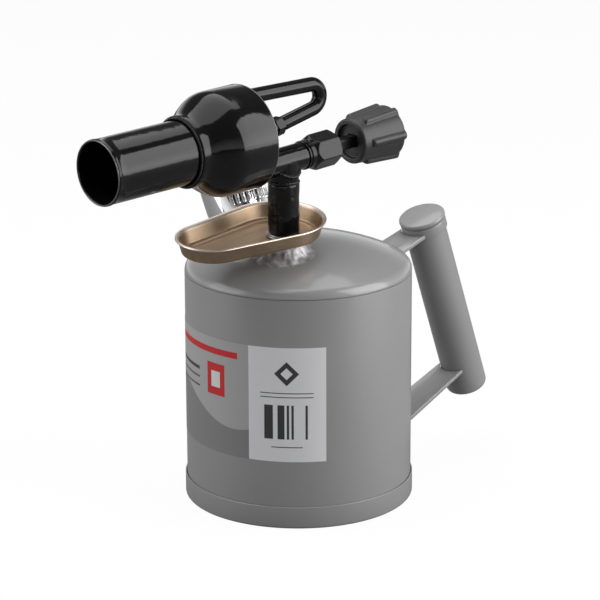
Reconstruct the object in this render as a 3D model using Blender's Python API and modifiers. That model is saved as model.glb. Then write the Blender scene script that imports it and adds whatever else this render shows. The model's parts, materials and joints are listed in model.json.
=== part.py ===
"""Petrol blowlamp: a welded fuel tank, a pump handle and a vaporising burner.

The tank's axis is Z, the handle lies towards +X and the flame leaves towards -X.
All lengths are in metres. Every piece is one object, placed by an empty for the
axis that it is turned about: riser, flame, valve, filler or pump.
"""
from math import asin, atan2, ceil, cos, hypot, pi, radians, sin, sqrt, tan

import bmesh
import bpy
from mathutils import Vector

# Shared clearances and counts
GAP = 0.0003
OVERRUN = 0.003
WELD_DISTANCE = 0.00001
TANK_SEGMENTS = 36
BURNER_SEGMENTS = 30
BARREL_SEGMENTS = 24
FITTING_SEGMENTS = 16
SMALL_SEGMENTS = 12
CREASE_ANGLE = radians(32)

# Tank: rolled wall, pressed dome, dished bottom
WALL_R = 0.0566
WALL_T = 0.0008
SHOULDER_Z = 0.1169
DOME_T = 0.0009
KNUCKLE_R = 0.0055
CREASE_INSET = 0.0027
CROWN_RISE = 0.0120
TONGUE_DEPTH = 0.0050
SKIRT_T = 0.0006
SKIRT_TOP_Z = 0.0113
FOOT_ROUND_R = 0.0015
FOOT_WIDTH = 0.0030
FOOT_SLOPE_WIDTH = 0.0020
FOOT_ROUND_STEPS = 2
DISH_EDGE_Z = 0.0025
DISH_RISE = 0.0035
CROWN_STEPS = 6
KNUCKLE_STEPS = 3

# Riser, its welded boss and the fuel pick-up
RISER_X = -0.0204
RISER_Y = -0.0120
BOSS_STEM_R = 0.0065
BOSS_STEM_DEPTH = 0.0080
BOSS_NECK_R = 0.0090
BOSS_SPIGOT_R = 0.0050
BOSS_SPIGOT_LENGTH = 0.0100
WELD_R = 0.0158
WELD_DROP = 0.0050
WELD_FILLET_R = 0.0065
FUEL_BORE_R = 0.0028
RISER_R = 0.00765
RISER_LENGTH = 0.0246
RISER_CHAMFER = 0.0006
RISER_SPIGOT_LENGTH = 0.0050
PICKUP_R = 0.0040
PICKUP_T = 0.0008
PICKUP_SOCKET_DEPTH = 0.0060
STRAINER_T = 0.0008
STRAINER_HEIGHT = 0.0090
STRAINER_CLEARANCE = 0.0030
STRAINER_SLOT = 0.0012
STRAINER_FLOOR_GAP = 0.0026

# Priming tray: a teardrop pan clamped a little out of level under the riser
TRAY_LIFT = 0.0226
TRAY_PITCH = radians(4.3)
TRAY_ROLL = radians(4.8)
TRAY_WEDGE = 0.0012
TRAY_DEPTH = 0.0084
TRAY_T = 0.0006
TRAY_BIG_R = 0.0245
TRAY_SMALL_R = 0.0186
TRAY_BIG_OFFSET = 0.0009
TRAY_BIG_SIDE = 0.0043
TRAY_LENGTH = 0.0383
TRAY_YAW = radians(-4.5)
TRAY_RIM_WIDTH = 0.0015
TRAY_RIM_T = 0.0008
TRAY_RIM_ROUND = 0.0004
TRAY_DRAFT = 0.0018
TRAY_CORNER_R = 0.0012
TRAY_STEP_WIDTH = 0.0014
TRAY_STEP_HEIGHT = 0.0003
TRAY_INNER_R = 0.0005
TRAY_POINTS = 34
WASHER_R = 0.0085
WASHER_T = 0.0017

# Valve: body, needle, spindle, gland and knob, on the valve's own axis
VALVE_LIFT = 0.0103
VALVE_TILT = radians(3.0)
VALVE_R = 0.0067
VALVE_REAR = 0.0161
VALVE_SPIGOT_R = 0.0034
VALVE_SPIGOT_LENGTH = 0.0052
VALVE_THREAD_R = 0.0061
VALVE_THREAD_LENGTH = 0.0105
VALVE_EDGE = 0.0005
VALVE_BOSS_R = 0.00745
CHAMBER_R = 0.0032
CHAMBER_FRONT = 0.0045
SEAT_R = 0.0010
SEAT_LENGTH = 0.0030
SEAT_LAND = 0.0012
PASSAGE_R = 0.0018
SPINDLE_THREAD_R = 0.0029
SPINDLE_FRONT = 0.0015
SPINDLE_SHOULDER = 0.0180
SPINDLE_R = 0.0036
SPINDLE_SQUARE = 0.0058
SPINDLE_SQUARE_FROM = 0.0350
SPINDLE_SOCKET_DEPTH = 0.0048
NEEDLE_R = 0.0014
NEEDLE_TIP_R = 0.0004
NEEDLE_CONE = 0.0022
NEEDLE_TIP = 0.0082
NEEDLE_LENGTH = 0.0112
PACKING_FROM = 0.0220
PACKING_T = 0.0013
NUT_FROM = 0.0174
NUT_RING_R = 0.0072
NUT_RING_T = 0.0012
NUT_RING_GROOVE = 0.0004
NUT_CONE_FROM = 0.0204
NUT_CONE_LENGTH = 0.0034
NUT_TO = 0.0337
NUT_FLATS = 0.0156
NUT_CHAMFER = 0.0012
NUT_LIP_T = 0.0055
KNOB_FRONT = 0.0440
KNOB_LENGTH = 0.0275
KNOB_FRONT_R = 0.01135
KNOB_REAR_R = 0.01325
KNOB_RING_WIDTH = 0.0025
KNOB_RECESS = 0.0038
KNOB_CHAMFER = 0.0009
KNOB_REAR_CHAMFER = 0.0022
KNOB_RIB_COUNT = 6
KNOB_RIB_PHASE = radians(30)
KNOB_RIB_R = 0.0019
KNOB_RIB_PROUD = 0.0013
KNOB_RIB_SETBACK = 0.0050
KNOB_RIB_NOSE = 0.0016
KNOB_BORE_DEPTH = 0.0130
KNOB_REAR_WELL_R = 0.0062
KNOB_REAR_WELL = 0.0060
KNOB_SCREW_R = 0.0020
KNOB_SCREW_LENGTH = 0.0060
KNOB_SCREW_HEAD_R = 0.0040
KNOB_SCREW_HEAD = 0.0022
KNOB_SCREW_SLOT = 0.0010
KNOB_SCREW_SLOT_DEPTH = 0.0010

# Burner: shell, flame tube, vaporiser and jet, on the flame's own axis
FLAME_LIFT = 0.0170
FLAME_TILT = radians(1.8)
MOUTH_REACH = 0.1142
FLAME_TUBE_R = 0.01555
FLAME_TUBE_T = 0.0010
MOUTH_BEAD = 0.0003
MOUTH_BEAD_LENGTH = 0.0013
SHELL_R = 0.0255
SHELL_T = 0.0009
SHELL_REAR = 0.0260
SHELL_SHOULDER = 0.0430
SHELL_NECK = 0.0625
SHELL_FRONT = 0.0650
SHELL_NECK_R = 0.0175
SHELL_NECK_BORE_LENGTH = 0.0030
SHELL_CURVE_STEPS = 6
SHELL_CURVE_BIAS_SHARE = 1.20
BODY_REAR = 0.0300
BODY_LENGTH = 0.0120
BODY_AIR_R = 0.0130
BODY_AIR_LENGTH = 0.0080
BODY_CONE_LENGTH = 0.0030
BODY_SPIGOT_LENGTH = 0.0140
BODY_SPIGOT_BORE_R = 0.0103
BODY_EDGE = 0.0010
HUB_R = 0.0070
HUB_LENGTH = 0.0050
ARM_COUNT = 3
ARM_WIDTH = 0.0026
GALLERY_R = 0.0183
GALLERY_BORE_R = 0.0019
GALLERY_INSET = 0.0060
MIXER_T = 0.0008
MIXER_SEAT_LENGTH = 0.0110
MIXER_STEP_LENGTH = 0.0020
MIXER_THROAT_R = 0.0065
MIXER_BELL_LENGTH = 0.0090
MIXER_END_R = 0.0080
MIXER_LENGTH = 0.0370
JET_R = 0.0038
JET_FRONT = 0.0340
JET_REAR_THREAD_R = 0.0036
JET_BEND = 0.0090
JET_REAR = 0.0080
JET_BORE_R = 0.0012
JET_FRONT_SOCKET_R = 0.0022
JET_FRONT_SOCKET_DEPTH = 0.0040
NOZZLE_R = 0.0032
NOZZLE_LENGTH = 0.0030
NOZZLE_TIP_R = 0.0014
NOZZLE_ORIFICE_R = 0.0004
NOZZLE_STEM_LENGTH = 0.0030
UNION_FLATS = 0.0094
UNION_FROM = 0.0041
UNION_TO = 0.0099
UNION_CHAMFER = 0.0006
LOOP_R = 0.0036
LOOP_BORE_R = 0.0018
LOOP_SOCKET = 0.0036
LOOP_HEIGHT = 0.0181
LOOP_SLOPE = radians(-2.0)
LOOP_RETURN_SLOPE = radians(10.5)
LOOP_REACH = 0.0242
LOOP_BEND_STEPS = 10
LOOP_END_GAP = 0.0006

# Filler neck, seal and cap, on the filler's own axis
FILLER_X = -0.0040
FILLER_Y = 0.0339
FILLER_LEAN = radians(27)
NECK_R = 0.0130
NECK_BORE_R = 0.0102
NECK_ABOVE = 0.0275
NECK_BELOW = 0.0070
NECK_FOOT_R = 0.0146
NECK_FOOT_TOP = 0.0036
SEAL_T = 0.0020
CAP_T = 0.0027
CAP_BOTTOM = 0.0144
CAP_TOP = 0.0335
CAP_EDGE = 0.0012
CAP_DISH = 0.0008
CAP_DISH_R = 0.0115
CAP_RIB_GROUPS = 2
CAP_RIBS_PER_GROUP = 9
CAP_RIB_PHASE = radians(266)
CAP_RIB_PITCH = radians(11)
CAP_RIB_R = 0.0013
CAP_RIB_PROUD = 0.0006
CAP_RIB_INSET = 0.0022

# Handle: pump barrel, plunger, check valve and straps, on the pump's own axis
HANDLE_REACH = 0.0653
PUMP_FOOT_Z = 0.0275
PUMP_LEAN = radians(19.5)
BARREL_R = 0.01085
BARREL_T = 0.0010
BARREL_ABOVE = 0.00636
BARREL_FOOT_R = 0.0032
BARREL_FOOT_STEPS = 4
COLLAR_R = 0.0118
COLLAR_LAP = 0.0027
COLLAR_ABOVE = 0.0030
COLLAR_EDGE = 0.0004
COLLAR_WELL_R = 0.0062
COLLAR_WELL = 0.0013
COLLAR_WEB = 0.0014
GUIDE_R = 0.0070
GUIDE_LENGTH = 0.0052
ROD_R = 0.0030
ROD_END_R = 0.0024
ROD_SHOULDER = 0.0314
KNOB_DISC_R = 0.0121
KNOB_DISC_T = 0.0025
KNOB_DISC_EDGE = 0.0006
KNOB_DISC_BOSS_R = 0.0056
KNOB_DISC_BOSS = 0.0013
KNOB_DISC_CAP_T = 0.0010
CUP_CLEARANCE = 0.0003
CUP_T = 0.0014
CUP_WEB = 0.0018
CUP_DEPTH = 0.0052
CUP_WASHER_T = 0.0010
CUP_WASHER_INSET = 0.0008
PISTON_NUT_FLATS = 0.0080
PISTON_NUT_T = 0.0024
ROD_BELOW_NUT = 0.0006
CHECK_TOP = 0.0190
CHECK_BOTTOM = 0.0070
CHECK_INLET_R = 0.0020
CHECK_INLET_LENGTH = 0.0025
CHECK_CHAMBER_R = 0.0036
CHECK_BALL_R = 0.0024
CHECK_BALL_SEGMENTS = 10
CHECK_BALL_RINGS = 6
SPRING_R = 0.0020
SPRING_WIRE_R = 0.0003
SPRING_TURNS = 5
SPRING_POINTS_PER_TURN = 8
LOWER_STRAP_Z = 0.0178
LOWER_STRAP_SLOPE = radians(22.8)
LOWER_STRAP_ROOT = 0.0108
LOWER_STRAP_TIP = 0.0082
UPPER_STRAP_DROP = 0.0048
UPPER_STRAP_SLOPE = radians(16.7)
UPPER_STRAP_ROOT = 0.0098
UPPER_STRAP_TIP = 0.0084
STRAP_T = 0.0020
AIR_PIPE_R = 0.0019
AIR_PIPE_BORE_R = 0.0011
AIR_PIPE_INSIDE = 0.0030

# Sizes that follow from the ones above
CREASE_R = WALL_R - CREASE_INSET
CREASE_RISE = sqrt(KNUCKLE_R**2 - (KNUCKLE_R - CREASE_INSET)**2)
CREASE_Z = SHOULDER_Z + CREASE_RISE
CROWN_BALL_R = (CREASE_R**2 + CROWN_RISE**2) / (2 * CROWN_RISE)
SKIRT_R = WALL_R + GAP + SKIRT_T
TRAY_Z = SHOULDER_Z + TRAY_LIFT
RISER_FOOT = TRAY_T + GAP + WASHER_T + GAP
RISER_FOOT_Z = TRAY_Z + RISER_FOOT
RISER_TOP_Z = RISER_FOOT_Z + RISER_LENGTH
VALVE_Z = RISER_TOP_Z + VALVE_LIFT
FLAME_Z = VALVE_Z + FLAME_LIFT
PUMP_FOOT_X = WALL_R + HANDLE_REACH
BARREL_TOP = (SHOULDER_Z - PUMP_FOOT_Z) / cos(PUMP_LEAN) + BARREL_ABOVE
COLLAR_FROM = BARREL_TOP - COLLAR_LAP
COLLAR_TO = BARREL_TOP + COLLAR_ABOVE
UPPER_STRAP_Z = SHOULDER_Z - UPPER_STRAP_DROP
BARREL_BORE_R = BARREL_R - BARREL_T
SHELL_BORE_R = SHELL_R - SHELL_T
FLAME_BORE_R = FLAME_TUBE_R - FLAME_TUBE_T
BODY_R = SHELL_BORE_R - GAP
CAP_BORE_R = NECK_R + GAP
CAP_R = CAP_BORE_R + CAP_T
DISC_FROM = COLLAR_TO + GAP
BOSS_TOP_Z = TRAY_Z - GAP + BOSS_SPIGOT_LENGTH
TILT_CHANGE = VALVE_TILT - FLAME_TILT
VALVE_FRONT = (BODY_REAR - GAP - VALVE_R * abs(sin(TILT_CHANGE))
               - (FLAME_Z - VALVE_Z) * sin(FLAME_TILT)) / cos(TILT_CHANGE)


def crown_z(radius):
    """Height of the dome's outer skin at a distance from the tank's axis."""
    fall = CROWN_BALL_R - sqrt(CROWN_BALL_R**2 - radius**2)
    return CREASE_Z + CROWN_RISE - fall


def dish_z(radius):
    """Height of the tank bottom's upper skin at a distance from its axis."""
    edge = WALL_R - FOOT_ROUND_R - FOOT_WIDTH - FOOT_SLOPE_WIDTH
    return DISH_EDGE_Z + SKIRT_T + DISH_RISE * (1 - (radius / edge)**2)


def lamp_shift():
    """Move that puts the origin under the middle of the whole lamp."""
    mouth_x = RISER_X - MOUTH_REACH * cos(FLAME_TILT)
    mouth_x -= (FLAME_TUBE_R + MOUTH_BEAD) * sin(FLAME_TILT)
    foot_x = PUMP_FOOT_X + (BARREL_R - BARREL_FOOT_R) * cos(PUMP_LEAN)
    foot_x += BARREL_FOOT_R * (1 - sin(PUMP_LEAN))
    cap_y = FILLER_Y + (CAP_TOP - CAP_EDGE) * sin(FILLER_LEAN) + CAP_R * cos(FILLER_LEAN)
    return -(mouth_x + foot_x) / 2, (SKIRT_R - cap_y) / 2


# Scene helpers

def clear_scene():
    for obj in list(bpy.data.objects):
        bpy.data.objects.remove(obj, do_unlink=True)


def new_collection(name):
    made = bpy.data.collections.new(name)
    bpy.context.scene.collection.children.link(made)
    return made


def new_material(name, color, roughness, metallic=0.0):
    made = bpy.data.materials.new(name)
    made.use_nodes = True
    shader = made.node_tree.nodes["Principled BSDF"]
    shader.inputs["Base Color"].default_value = (*color, 1.0)
    shader.inputs["Roughness"].default_value = roughness
    shader.inputs["Metallic"].default_value = metallic
    made.diffuse_color = (*color, 1.0)
    return made


def new_axis(name, parent, location=(0, 0, 0), rotation=(0, 0, 0)):
    """An empty that stands for an axis or a seat; its own Z is the axis."""
    axis = bpy.data.objects.new(name, None)
    axis.empty_display_type = "ARROWS"
    axis.empty_display_size = WALL_R / 4
    axis.location = location
    axis.rotation_euler = rotation
    axis.parent = parent
    PARTS.objects.link(axis)
    return axis


def new_object(name, mesh, axis, look=None):
    """A named piece; without a look it is a cutter or a shape to join."""
    obj = bpy.data.objects.new(name, mesh)
    obj.parent = axis
    if look is None:
        obj.hide_render = True
        obj.display_type = "WIRE"
        CUTTERS.objects.link(obj)
    else:
        mesh.materials.append(new_material(name, *look))
        PARTS.objects.link(obj)
    return obj


def mesh_of(bm, name):
    mesh = bpy.data.meshes.new(name)
    bm.to_mesh(mesh)
    bm.free()
    return mesh


def turned(name, axis, points, look=None, segments=FITTING_SEGMENTS, closed=True):
    """Turn an (r, z) outline about Z; its outer side runs from top to bottom."""
    bm = bmesh.new()
    verts = [bm.verts.new((r, 0, z)) for r, z in points]
    for first, second in zip(verts, verts[1:]):
        bm.edges.new((first, second))
    if closed:
        bm.edges.new((verts[-1], verts[0]))
    obj = new_object(name, mesh_of(bm, name), axis, look)
    screw = obj.modifiers.new("turn", "SCREW")
    screw.steps = segments
    screw.render_steps = segments
    screw.use_merge_vertices = True
    screw.merge_threshold = WELD_DISTANCE
    return obj


def solid_turned(name, axis, points, look=None, segments=FITTING_SEGMENTS):
    """A turned piece whose outline starts and ends on the axis."""
    return turned(name, axis, points, look, segments, closed=False)


def sleeve(name, axis, outer, bore, look=None, segments=FITTING_SEGMENTS):
    """A turned ring from its outer side and its bore, both listed top to bottom."""
    return turned(name, axis, outer + bore[::-1], look, segments)


def rod(name, axis, radius, top, bottom, look=None, segments=FITTING_SEGMENTS):
    """A plain round bar between two heights."""
    bm = bmesh.new()
    bmesh.ops.create_cone(bm, cap_ends=True, segments=segments, radius1=radius,
                          radius2=radius, depth=top - bottom)
    bmesh.ops.translate(bm, verts=bm.verts, vec=(0, 0, (top + bottom) / 2))
    return new_object(name, mesh_of(bm, name), axis, look)


def hexagon(name, axis, flats, top, bottom, look=None):
    return rod(name, axis, flats / 2 / cos(pi / 6), top, bottom, look, segments=6)


def block(name, axis, size, centre, look=None):
    bm = bmesh.new()
    bmesh.ops.create_cube(bm, size=1.0)
    bmesh.ops.scale(bm, verts=bm.verts, vec=size)
    bmesh.ops.translate(bm, verts=bm.verts, vec=centre)
    return new_object(name, mesh_of(bm, name), axis, look)


def add_loft(bm, rings):
    """Skin a row of rings, each a list of points, and close both ends."""
    loops = [[bm.verts.new(point) for point in ring] for ring in rings]
    for low, high in zip(loops, loops[1:]):
        for i in range(len(low)):
            j = (i + 1) % len(low)
            bm.faces.new((low[i], low[j], high[j], high[i]))
    bm.faces.new(loops[0][::-1])
    bm.faces.new(loops[-1])


def loft(name, axis, rings, look=None):
    bm = bmesh.new()
    add_loft(bm, rings)
    bmesh.ops.recalc_face_normals(bm, faces=bm.faces)
    return new_object(name, mesh_of(bm, name), axis, look)


def bars_round(name, axis, stations, angles, sides):
    """Round bars along Z, one at each angle; a station is (distance, z, radius)."""
    bm = bmesh.new()
    for angle in angles:
        rings = []
        for distance, z, radius in stations:
            ring = []
            for i in range(sides):
                turn = 2 * pi * i / sides
                out = distance + radius * cos(turn)
                side = radius * sin(turn)
                ring.append((out * cos(angle) - side * sin(angle),
                             out * sin(angle) + side * cos(angle), z))
            rings.append(ring)
        add_loft(bm, rings)
    bmesh.ops.recalc_face_normals(bm, faces=bm.faces)
    return new_object(name, mesh_of(bm, name), axis)


def pipe(name, axis, points, radius, look=None, resolution=2):
    """A round pipe or wire along a row of points, as a mesh with welded ends."""
    data = bpy.data.curves.new(name, "CURVE")
    data.dimensions = "3D"
    data.bevel_depth = radius
    data.bevel_resolution = resolution
    data.use_fill_caps = True
    spline = data.splines.new("POLY")
    spline.points.add(len(points) - 1)
    for target, point in zip(spline.points, points):
        target.co = (*point, 1.0)
    guide = bpy.data.objects.new(name + "_path", data)
    CUTTERS.objects.link(guide)
    depsgraph = bpy.context.evaluated_depsgraph_get()
    mesh = bpy.data.meshes.new_from_object(guide.evaluated_get(depsgraph))
    bm = bmesh.new()
    bm.from_mesh(mesh)
    bmesh.ops.remove_doubles(bm, verts=bm.verts, dist=WELD_DISTANCE)
    bmesh.ops.recalc_face_normals(bm, faces=bm.faces)
    bm.to_mesh(mesh)
    bm.free()
    mesh.name = name
    bpy.data.objects.remove(guide, do_unlink=True)
    return new_object(name, mesh, axis, look)


def combine(obj, other, operation):
    step = obj.modifiers.new(operation.lower(), "BOOLEAN")
    step.operation = operation
    step.solver = "EXACT"
    step.object = other
    return obj


def cut(obj, other):
    return combine(obj, other, "DIFFERENCE")


def join(obj, other):
    return combine(obj, other, "UNION")


def keep(obj, other):
    return combine(obj, other, "INTERSECT")


def arc(centre_r, centre_z, radius, start, end, steps):
    """Points along an arc; angles are measured from the outward direction."""
    points = []
    for i in range(steps + 1):
        angle = start + (end - start) * i / steps
        points.append((centre_r + radius * cos(angle), centre_z + radius * sin(angle)))
    return points


# Tank

def crown_points(offset, outermost, steps):
    """The crown from its top to a radius, moved along Z by an offset."""
    radii = [outermost * i / steps for i in range(steps + 1)]
    return [(radius, crown_z(radius) + offset) for radius in radii]


def make_tank_wall(tank, look):
    top = SHOULDER_Z - GAP
    foot = SKIRT_T + 2 * GAP
    inner = WALL_R - WALL_T
    return sleeve("tank_wall", tank, [(WALL_R, top), (WALL_R, foot)],
                  [(inner, top), (inner, foot)], look, TANK_SEGMENTS)


def make_tank_dome(tank, look):
    """Crown, knuckle, and a tongue that fits inside the wall."""
    knuckle_end = atan2(CREASE_RISE, KNUCKLE_R - CREASE_INSET)
    outside = crown_points(0, CREASE_R, CROWN_STEPS)
    outside += arc(WALL_R - KNUCKLE_R, SHOULDER_Z, KNUCKLE_R, knuckle_end, 0, KNUCKLE_STEPS)[1:]
    tongue = WALL_R - WALL_T - GAP
    tongue_z = SHOULDER_Z - TONGUE_DEPTH
    outside += [(tongue, SHOULDER_Z), (tongue, tongue_z)]
    inside = crown_points(-DOME_T, CREASE_R - DOME_T, CROWN_STEPS // 3)
    inside += [(tongue - DOME_T, SHOULDER_Z), (tongue - DOME_T, tongue_z)]
    return solid_turned("tank_dome", tank, outside + inside[::-1], look, TANK_SEGMENTS)


def make_tank_bottom(tank, look):
    """Skirt over the wall, flat foot ring and a dish that clears the ground."""
    foot_r = SKIRT_R - FOOT_ROUND_R
    flat_r = foot_r - FOOT_WIDTH
    dish_r = flat_r - FOOT_SLOPE_WIDTH
    steps = CROWN_STEPS // 3
    radii = [dish_r * i / steps for i in range(steps + 1)]
    under = [(r, DISH_EDGE_Z + DISH_RISE * (1 - (r / dish_r)**2)) for r in radii]
    above = [(r, z + SKIRT_T) for r, z in under]
    inner_round = FOOT_ROUND_R - SKIRT_T
    above += [(flat_r + SKIRT_T / 2, SKIRT_T)]
    above += arc(foot_r, FOOT_ROUND_R, inner_round, -pi / 2, 0, FOOT_ROUND_STEPS)
    above += [(SKIRT_R - SKIRT_T, SKIRT_TOP_Z)]
    outside = [(SKIRT_R, SKIRT_TOP_Z)]
    outside += arc(foot_r, FOOT_ROUND_R, FOOT_ROUND_R, 0, -pi / 2, FOOT_ROUND_STEPS)
    outside += [(flat_r, 0)] + under[::-1]
    return solid_turned("tank_bottom", tank, above + outside, look, TANK_SEGMENTS)


def make_dome_form(tank, stem_axis, stem_r):
    """The dome as a solid with one clear hole, to seat a welded foot on it."""
    skin = crown_points(GAP, CREASE_R, CROWN_STEPS)
    skin += [(CREASE_R, SHOULDER_Z), (0, SHOULDER_Z)]
    form = solid_turned("dome_form", tank, skin, None, TANK_SEGMENTS)
    hole = rod("dome_form_hole", stem_axis, stem_r, WALL_R, -WALL_R)
    return cut(form, hole)


# Riser, boss, pick-up and tray

def make_riser_boss(tank, riser, clamp, look):
    """Weld fillet on the dome, neck cut to the tray's lean, and threaded spigot."""
    neck_top = TRAY_Z + TRAY_WEDGE
    seat = crown_z(hypot(RISER_X, RISER_Y))
    fillet_low = seat - GAP
    fillet = arc(BOSS_NECK_R + WELD_FILLET_R, fillet_low + WELD_FILLET_R, WELD_FILLET_R,
                 -pi, -pi / 2, KNUCKLE_STEPS)
    foot = seat - WELD_DROP
    skin = [(0, neck_top), (BOSS_NECK_R, neck_top)]
    skin += fillet + [(WELD_R, foot), (0, foot)]
    boss = solid_turned("riser_boss", riser, skin, look)
    cut(boss, make_dome_form(tank, riser, BOSS_STEM_R - GAP))
    stem_foot = seat - BOSS_STEM_DEPTH
    inside = TRAY_Z - OVERRUN
    join(boss, rod("boss_stem", riser, BOSS_STEM_R, inside, stem_foot))
    trim = 2 * WELD_R
    cut(boss, block("boss_trim", clamp, (trim, trim, trim), (0, 0, trim / 2 - GAP)))
    join(boss, rod("boss_spigot", riser, BOSS_SPIGOT_R, BOSS_TOP_Z, inside))
    socket = PICKUP_R + GAP
    cut(boss, solid_turned("boss_bore", riser, [
        (0, BOSS_TOP_Z + OVERRUN), (FUEL_BORE_R, BOSS_TOP_Z + OVERRUN),
        (FUEL_BORE_R, stem_foot + PICKUP_SOCKET_DEPTH),
        (socket, stem_foot + PICKUP_SOCKET_DEPTH), (socket, stem_foot - OVERRUN),
        (0, stem_foot - OVERRUN)]))
    return boss


def make_pickup(riser, tube_look, strainer_look):
    """Suction tube down to a slotted strainer just above the tank's bottom."""
    reach = hypot(RISER_X, RISER_Y)
    top = crown_z(reach) - BOSS_STEM_DEPTH + PICKUP_SOCKET_DEPTH - GAP
    strainer_z = dish_z(reach) + STRAINER_CLEARANCE
    low = strainer_z + STRAINER_T + STRAINER_FLOOR_GAP
    bore = PICKUP_R - PICKUP_T
    sleeve("pickup_tube", riser, [(PICKUP_R, top), (PICKUP_R, low)],
           [(bore, top), (bore, low)], tube_look, SMALL_SEGMENTS)
    mouth = strainer_z + STRAINER_HEIGHT
    inner = PICKUP_R + GAP
    outer = inner + STRAINER_T
    floor = strainer_z + STRAINER_T
    strainer = solid_turned("pickup_strainer", riser, [
        (0, floor), (inner, floor), (inner, mouth), (outer, mouth),
        (outer, strainer_z), (0, strainer_z)], strainer_look, SMALL_SEGMENTS)
    slot_z = floor + STRAINER_SLOT / 2
    across = 2 * (outer + OVERRUN)
    for name, size in (("strainer_slot_x", (across, STRAINER_SLOT, STRAINER_SLOT)),
                       ("strainer_slot_y", (STRAINER_SLOT, across, STRAINER_SLOT))):
        cut(strainer, block(name, riser, size, (0, 0, slot_z)))


def teardrop(inset, z):
    """The tray's outline, drawn in from its rim by an inset, at one height."""
    big = TRAY_BIG_R - inset
    small = TRAY_SMALL_R - inset
    lean = asin((big - small) / TRAY_LENGTH)
    big_span = pi + 2 * lean
    small_span = pi - 2 * lean
    big_steps = int(ceil(TRAY_POINTS * big_span / (2 * pi)))
    small_steps = TRAY_POINTS - big_steps
    points = []
    for i in range(big_steps):
        angle = -big_span / 2 + big_span * i / (big_steps - 1)
        points.append((big * cos(angle), big * sin(angle), z))
    for i in range(small_steps):
        angle = pi - small_span / 2 + small_span * i / (small_steps - 1)
        points.append((small * cos(angle) - TRAY_LENGTH, small * sin(angle), z))
    return points


def make_tray(riser, clamp, look):
    """Teardrop pan with a drafted wall, a rolled-out rim and a stepped floor."""
    seat = new_axis("tray_seat", clamp, (-TRAY_BIG_OFFSET, TRAY_BIG_SIDE, 0),
                    (0, 0, TRAY_YAW))
    rim_low = TRAY_DEPTH - TRAY_RIM_T
    wall = TRAY_RIM_WIDTH
    base = wall + TRAY_DRAFT
    step = TRAY_T + TRAY_STEP_HEIGHT
    rings = [
        (base + TRAY_CORNER_R, 0),
        (base, TRAY_CORNER_R),
        (wall, rim_low),
        (TRAY_RIM_ROUND, rim_low),
        (0, rim_low + TRAY_RIM_ROUND),
        (TRAY_RIM_ROUND, TRAY_DEPTH),
        (wall, TRAY_DEPTH),
        (wall + TRAY_T + TRAY_RIM_ROUND, TRAY_DEPTH - TRAY_RIM_ROUND),
        (base + TRAY_T, step + TRAY_INNER_R),
        (base + TRAY_T + TRAY_INNER_R, step),
        (base + TRAY_CORNER_R + TRAY_STEP_WIDTH, step),
        (base + TRAY_CORNER_R + 2 * TRAY_STEP_WIDTH, TRAY_T),
    ]
    tray = loft("priming_tray", seat, [teardrop(inset, z) for inset, z in rings], look)
    cut(tray, rod("tray_hole", riser, BOSS_SPIGOT_R + GAP, BOSS_TOP_Z, TRAY_Z - OVERRUN))
    return tray


def make_tray_washer(riser, clamp, look):
    low = TRAY_T + GAP
    washer = rod("tray_washer", clamp, WASHER_R, low + WASHER_T, low, look)
    cut(washer, rod("washer_bore", riser, BOSS_SPIGOT_R + GAP, BOSS_TOP_Z, TRAY_Z - OVERRUN))
    return washer


def make_riser_pipe(riser, clamp, look):
    """Thick fuel pipe: foot cut to the tray's lean, short spigot into the valve."""
    foot = RISER_FOOT_Z - TRAY_WEDGE
    top = RISER_TOP_Z - GAP / 2
    spigot_r = BOSS_SPIGOT_R
    spigot_top = top + RISER_SPIGOT_LENGTH
    socket_r = BOSS_SPIGOT_R + GAP
    socket_top = BOSS_TOP_Z + GAP
    outside = [(spigot_r, spigot_top), (spigot_r, top), (RISER_R - RISER_CHAMFER, top),
               (RISER_R, top - RISER_CHAMFER), (RISER_R, foot)]
    bore = [(FUEL_BORE_R, spigot_top), (FUEL_BORE_R, socket_top), (socket_r, socket_top),
            (socket_r, foot)]
    pipe = sleeve("riser_pipe", riser, outside, bore, look)
    trim = 2 * (RISER_R + OVERRUN)
    return cut(pipe, block("riser_trim", clamp, (trim, trim, trim),
                           (0, 0, RISER_FOOT - trim / 2)))


# Valve

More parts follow.
